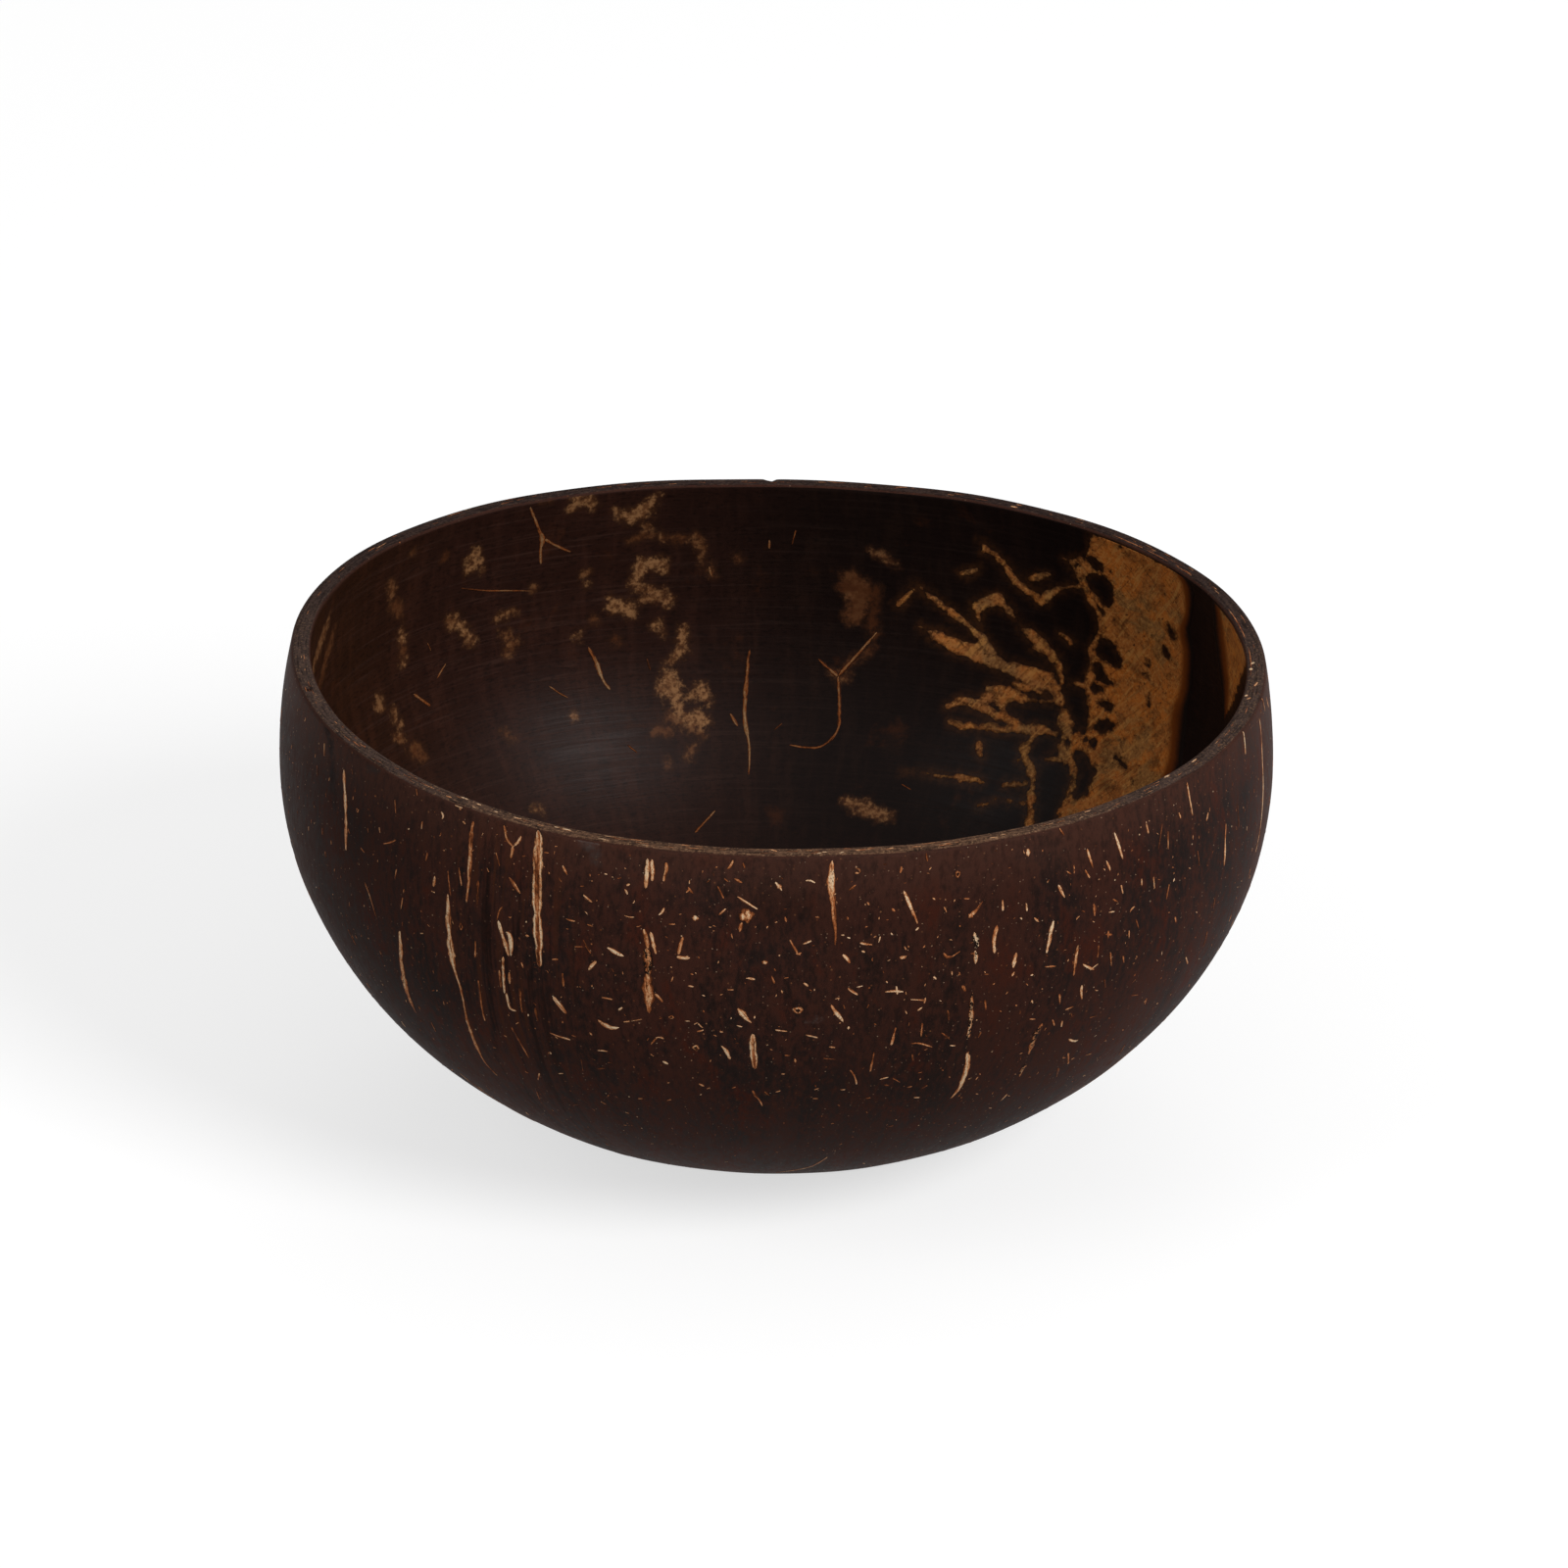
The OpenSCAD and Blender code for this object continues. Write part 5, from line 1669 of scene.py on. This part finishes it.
def build_flecks():
    """Short fibres: those that the photograph shows, and made-up ones, many of them where it shows none."""
    seen = Inlay()
    seen.marks(SMALL, slim=0.72, fade=0.92)
    seen.build("flecks_seen", FIBRE, "husk_fibre")
    dots = np.array([[float(v) for v in p.split(",")] for p in DOTS.split()])
    round_dots = Inlay()
    for az, z, width, tone in zip(*wall_places(dots[:, :2], False), dots[:, 2] / PX_PER_MM, dots[:, 3] / 9):
        heading = RNG.uniform(0, math.pi)
        fleck(round_dots, az, z, width * 0.95, width * 0.75, heading, 0.2, (tone, tone * 0.85))
    round_dots.build("flecks_round", FIBRE, "husk_fibre")

    for name, count, lo, hi in (("flecks_front", 900, -165, -15), ("flecks_behind", 1150, -15, 195)):
        inlay = Inlay()
        for _ in range(count):
            az, z = RNG.uniform(lo, hi), RNG.uniform(2.5, BOWL_H - 1.2)
            small, heading, bend, size, tone, drop = RNG.random(6)
            if RNG.random() > 0.3 + 0.7 * float(wall_r(z, False)) / RADIUS:
                continue
            if noise2(np.radians(az) * RADIUS + 300, z, 9, 51) + RNG.random() * 0.8 < 0.5:
                continue
            in_view = float(on_wall(az, z, False)[1] @ FORWARD) < -0.2
            upright = 0.6 if az > -15 else float(smoothstep(abs(az + 90), 25, 70))
            angle = math.pi * heading if RNG.random() > upright else math.pi / 2 + RNG.normal(0, 0.3)
            if in_view and small > 0.6:
                continue
            if in_view or small < 0.45:
                length, width = 0.22 + 0.45 * size, 0.11 + 0.1 * size
            else:
                length, width = 0.5 + 1.9 * size ** 2, 0.26 + 0.3 * size
            tone = 0.2 + 0.6 * tone
            fleck(inlay, az, z, length, width, angle, bend - 0.5, (tone, tone - 0.2 * drop))
        inlay.build(name, FIBRE, "husk_fibre")


# ---------------------------------------------------------------- the rim
RIM_TOP_R = float(wall_r(BOWL_H, False))


def rim_places(px):
    """Azimuths and radii of the points of the rim's flat that the photograph shows at these pixels."""
    ray = (px[:, :1] - HALF_FRAME) * RIGHT + (px[:, 1:] - HALF_FRAME) * DOWN + PX_PER_MM * DISTANCE * FORWARD
    p = CAMERA_AT + ray * ((BOWL_H - 0.1 - CAMERA_AT[2]) / ray[:, 2])[:, None]
    want = np.degrees(np.arctan2(p[:, 1], p[:, 0]))
    az = want.copy()
    for _ in range(4):
        q = ring(az, RADIUS, 0.0)
        az += (want - np.degrees(np.arctan2(q[:, 1], q[:, 0])) + 180) % 360 - 180
    r = RADIUS * np.linalg.norm(p[:, :2], axis=1) / np.linalg.norm(ring(az, RADIUS, 0.0)[:, :2], axis=1)
    return az, np.clip(r, RIM_TOP_R - WALL_T + RIM_INNER_R + 0.15, RIM_TOP_R - RIM_OUTER_R + 0.25)


def rim_height(az, r):
    """Height of the rim's surface, which waves a little and rounds off at its outer edge."""
    over = np.clip(r - (RIM_TOP_R - RIM_OUTER_R), 0, RIM_OUTER_R)
    return BOWL_H - RIM_OUTER_R + np.sqrt(RIM_OUTER_R ** 2 - over ** 2) + rim_wave(az)


def build_rim_marks():
    """Ends of strands that the saw cut through: small chips of fibre let into the flat of the rim."""
    inlay = Inlay()
    n, rise = 9, ((-1, -0.01), (0, 0.03), (1, -0.01), (0.6, -0.3), (-0.6, -0.3))
    m = len(rise)

    def chip(az, r, width, tones):
        s = np.linspace(0, 1, n)
        half = width / 2 * np.sqrt(np.clip(1 - (2 * s - 1) ** 2, 0.02, 1)) * (1 + 0.5 * (RNG.random(n) - 0.5))
        az_s, r_s = (np.interp(s, [0, 1], ends)[:, None] for ends in (az, r))
        a, lift = np.array(rise).T
        radius = r_s + a * half[:, None]
        co = ring(az_s + 0 * radius, radius, rim_height(az_s, radius) + lift)
        thread = np.stack([a * half[:, None] + az[0], (s * abs(az[1] - az[0]))[:, None] + 0 * a,
                           np.full((n, m), az[0])], -1)
        inlay.add(co.reshape(-1, 3), tube_faces(n, m, az[1] > az[0]), thread=thread.reshape(-1, 3),
                  edged=0.0, broken=0.0, across=np.tile(a, n),
                  tone=np.repeat(np.interp(s, [0, 1], tones), m))

    for look, marks in read_marks(RIM_MARKS):
        az, r = rim_places(marks[:, :2])
        ends = (az[0], az[-1]) if abs(az[-1] - az[0]) >= 0.4 else (az[0] - 0.3, az[0] + 0.3)
        chip(ends, (r[0], r[-1]), marks[:, 2].mean() / PX_PER_MM, (int(look[0]) / 9, int(look[1]) / 9))
    for az in RNG.uniform(-180, 180, 190):
        long = RNG.uniform(0.4, 2.2)
        r = RIM_TOP_R - RNG.uniform(RIM_OUTER_R * 0.5, WALL_T - RIM_INNER_R - 0.2)
        chip((az, az + math.degrees(long / RIM_TOP_R)), (r, r + RNG.normal(0, 0.06)), RNG.uniform(0.08, 0.2),
             (RNG.uniform(0.15, 0.55),) * 2)
    inlay.build("rim_fibre_ends", FIBRE, "husk_fibre", "rim_strand_ends")


# ---------------------------------------------------------------- floor, light and camera
FLOOR_GREY, FLOOR_GLOW, FLOOR_ROUGHNESS, AMBIENT = 0.42, 0.65, 0.9, 0.5
FLOOR_REACH, FLOOR_GAP = 6.0, 0.0001
LIT_PLACE, SENSOR_WIDTH = (0, 0, 0.03), 36.0


def shown_ray(nodes):
    """1 for camera, glossy and transmission rays, which see the white studio."""
    path = nodes.node("LightPath")
    seen = nodes.math("MAXIMUM", path["Is Camera Ray"], path["Is Glossy Ray"])
    return nodes.math("MAXIMUM", seen, path["Is Transmission Ray"])


def build_stage():
    mesh = bpy.data.meshes.new("floor")
    square = ((-1, -1), (1, -1), (1, 1), (-1, 1))
    mesh.from_pydata([(x * FLOOR_REACH, y * FLOOR_REACH, 0) for x, y in square], [], [(0, 1, 2, 3)])
    floor = bpy.data.objects.new("floor", mesh)
    floor.location.z = -FLOOR_GAP
    bpy.context.scene.collection.objects.link(floor)
    s = Shader("floor")
    s.base = (FLOOR_GREY, FLOOR_GREY, FLOOR_GREY, 1)
    mesh.materials.append(s.finish(FLOOR_ROUGHNESS, None, 0.0))
    glow = s.node("Emission", {"Strength": s.times(shown_ray(s), FLOOR_GLOW)})[0]
    both = s.node("AddShader", {0: s.bsdf.outputs[0], 1: glow})[0]
    s.feed(s.tree.nodes["Material Output"].inputs["Surface"], both)

    world = bpy.data.worlds.new("studio")
    bpy.context.scene.world = world
    world.use_nodes = True
    nodes = Nodes(world.node_tree)
    nodes.tree.nodes.clear()
    plain, white = (nodes.node("Background", {"Strength": k})[0] for k in (AMBIENT, 1.0))
    mixed = nodes.node("MixShader", {0: shown_ray(nodes), 1: plain, 2: white})[0]
    nodes.node("OutputWorld", {0: mixed})

    for name, at, size, power in (("softbox_right", (0.93, -0.94, 0.97), 0.7, 19.5),
                                  ("softbox_left", (-1.1, -0.7, 1.0), 0.9, 4.5),
                                  ("softbox_back", (0.1, 1.2, 1.1), 0.9, 2.5)):
        data = bpy.data.lights.new(name, "AREA")
        data.shape, data.size, data.energy = "DISK", size, power
        lamp = bpy.data.objects.new(name, data)
        lamp.location = at
        lamp.rotation_euler = (Vector(LIT_PLACE) - Vector(at)).to_track_quat("-Z", "Y").to_euler()
        bpy.context.scene.collection.objects.link(lamp)


def build_camera():
    data = bpy.data.cameras.new("camera")
    data.sensor_width = SENSOR_WIDTH
    data.lens = SENSOR_WIDTH * PX_PER_MM * DISTANCE / (2 * HALF_FRAME)
    data.clip_start, data.clip_end = 0.05, 20
    camera = bpy.data.objects.new("camera", data)
    axes = np.column_stack([RIGHT, -DOWN, -FORWARD])
    camera.matrix_world = Matrix.Translation(Vector(CAMERA_AT * MM)) @ Matrix(axes.tolist()).to_4x4()
    bpy.context.scene.collection.objects.link(camera)
    bpy.context.scene.camera = camera


build_camera()
build_stage()
build_shell()
build_lining()
build_strands()
build_rim_marks()
build_flecks()
bpy.context.scene.view_settings.view_transform = "Standard"

bpy.context.view_layer.update()
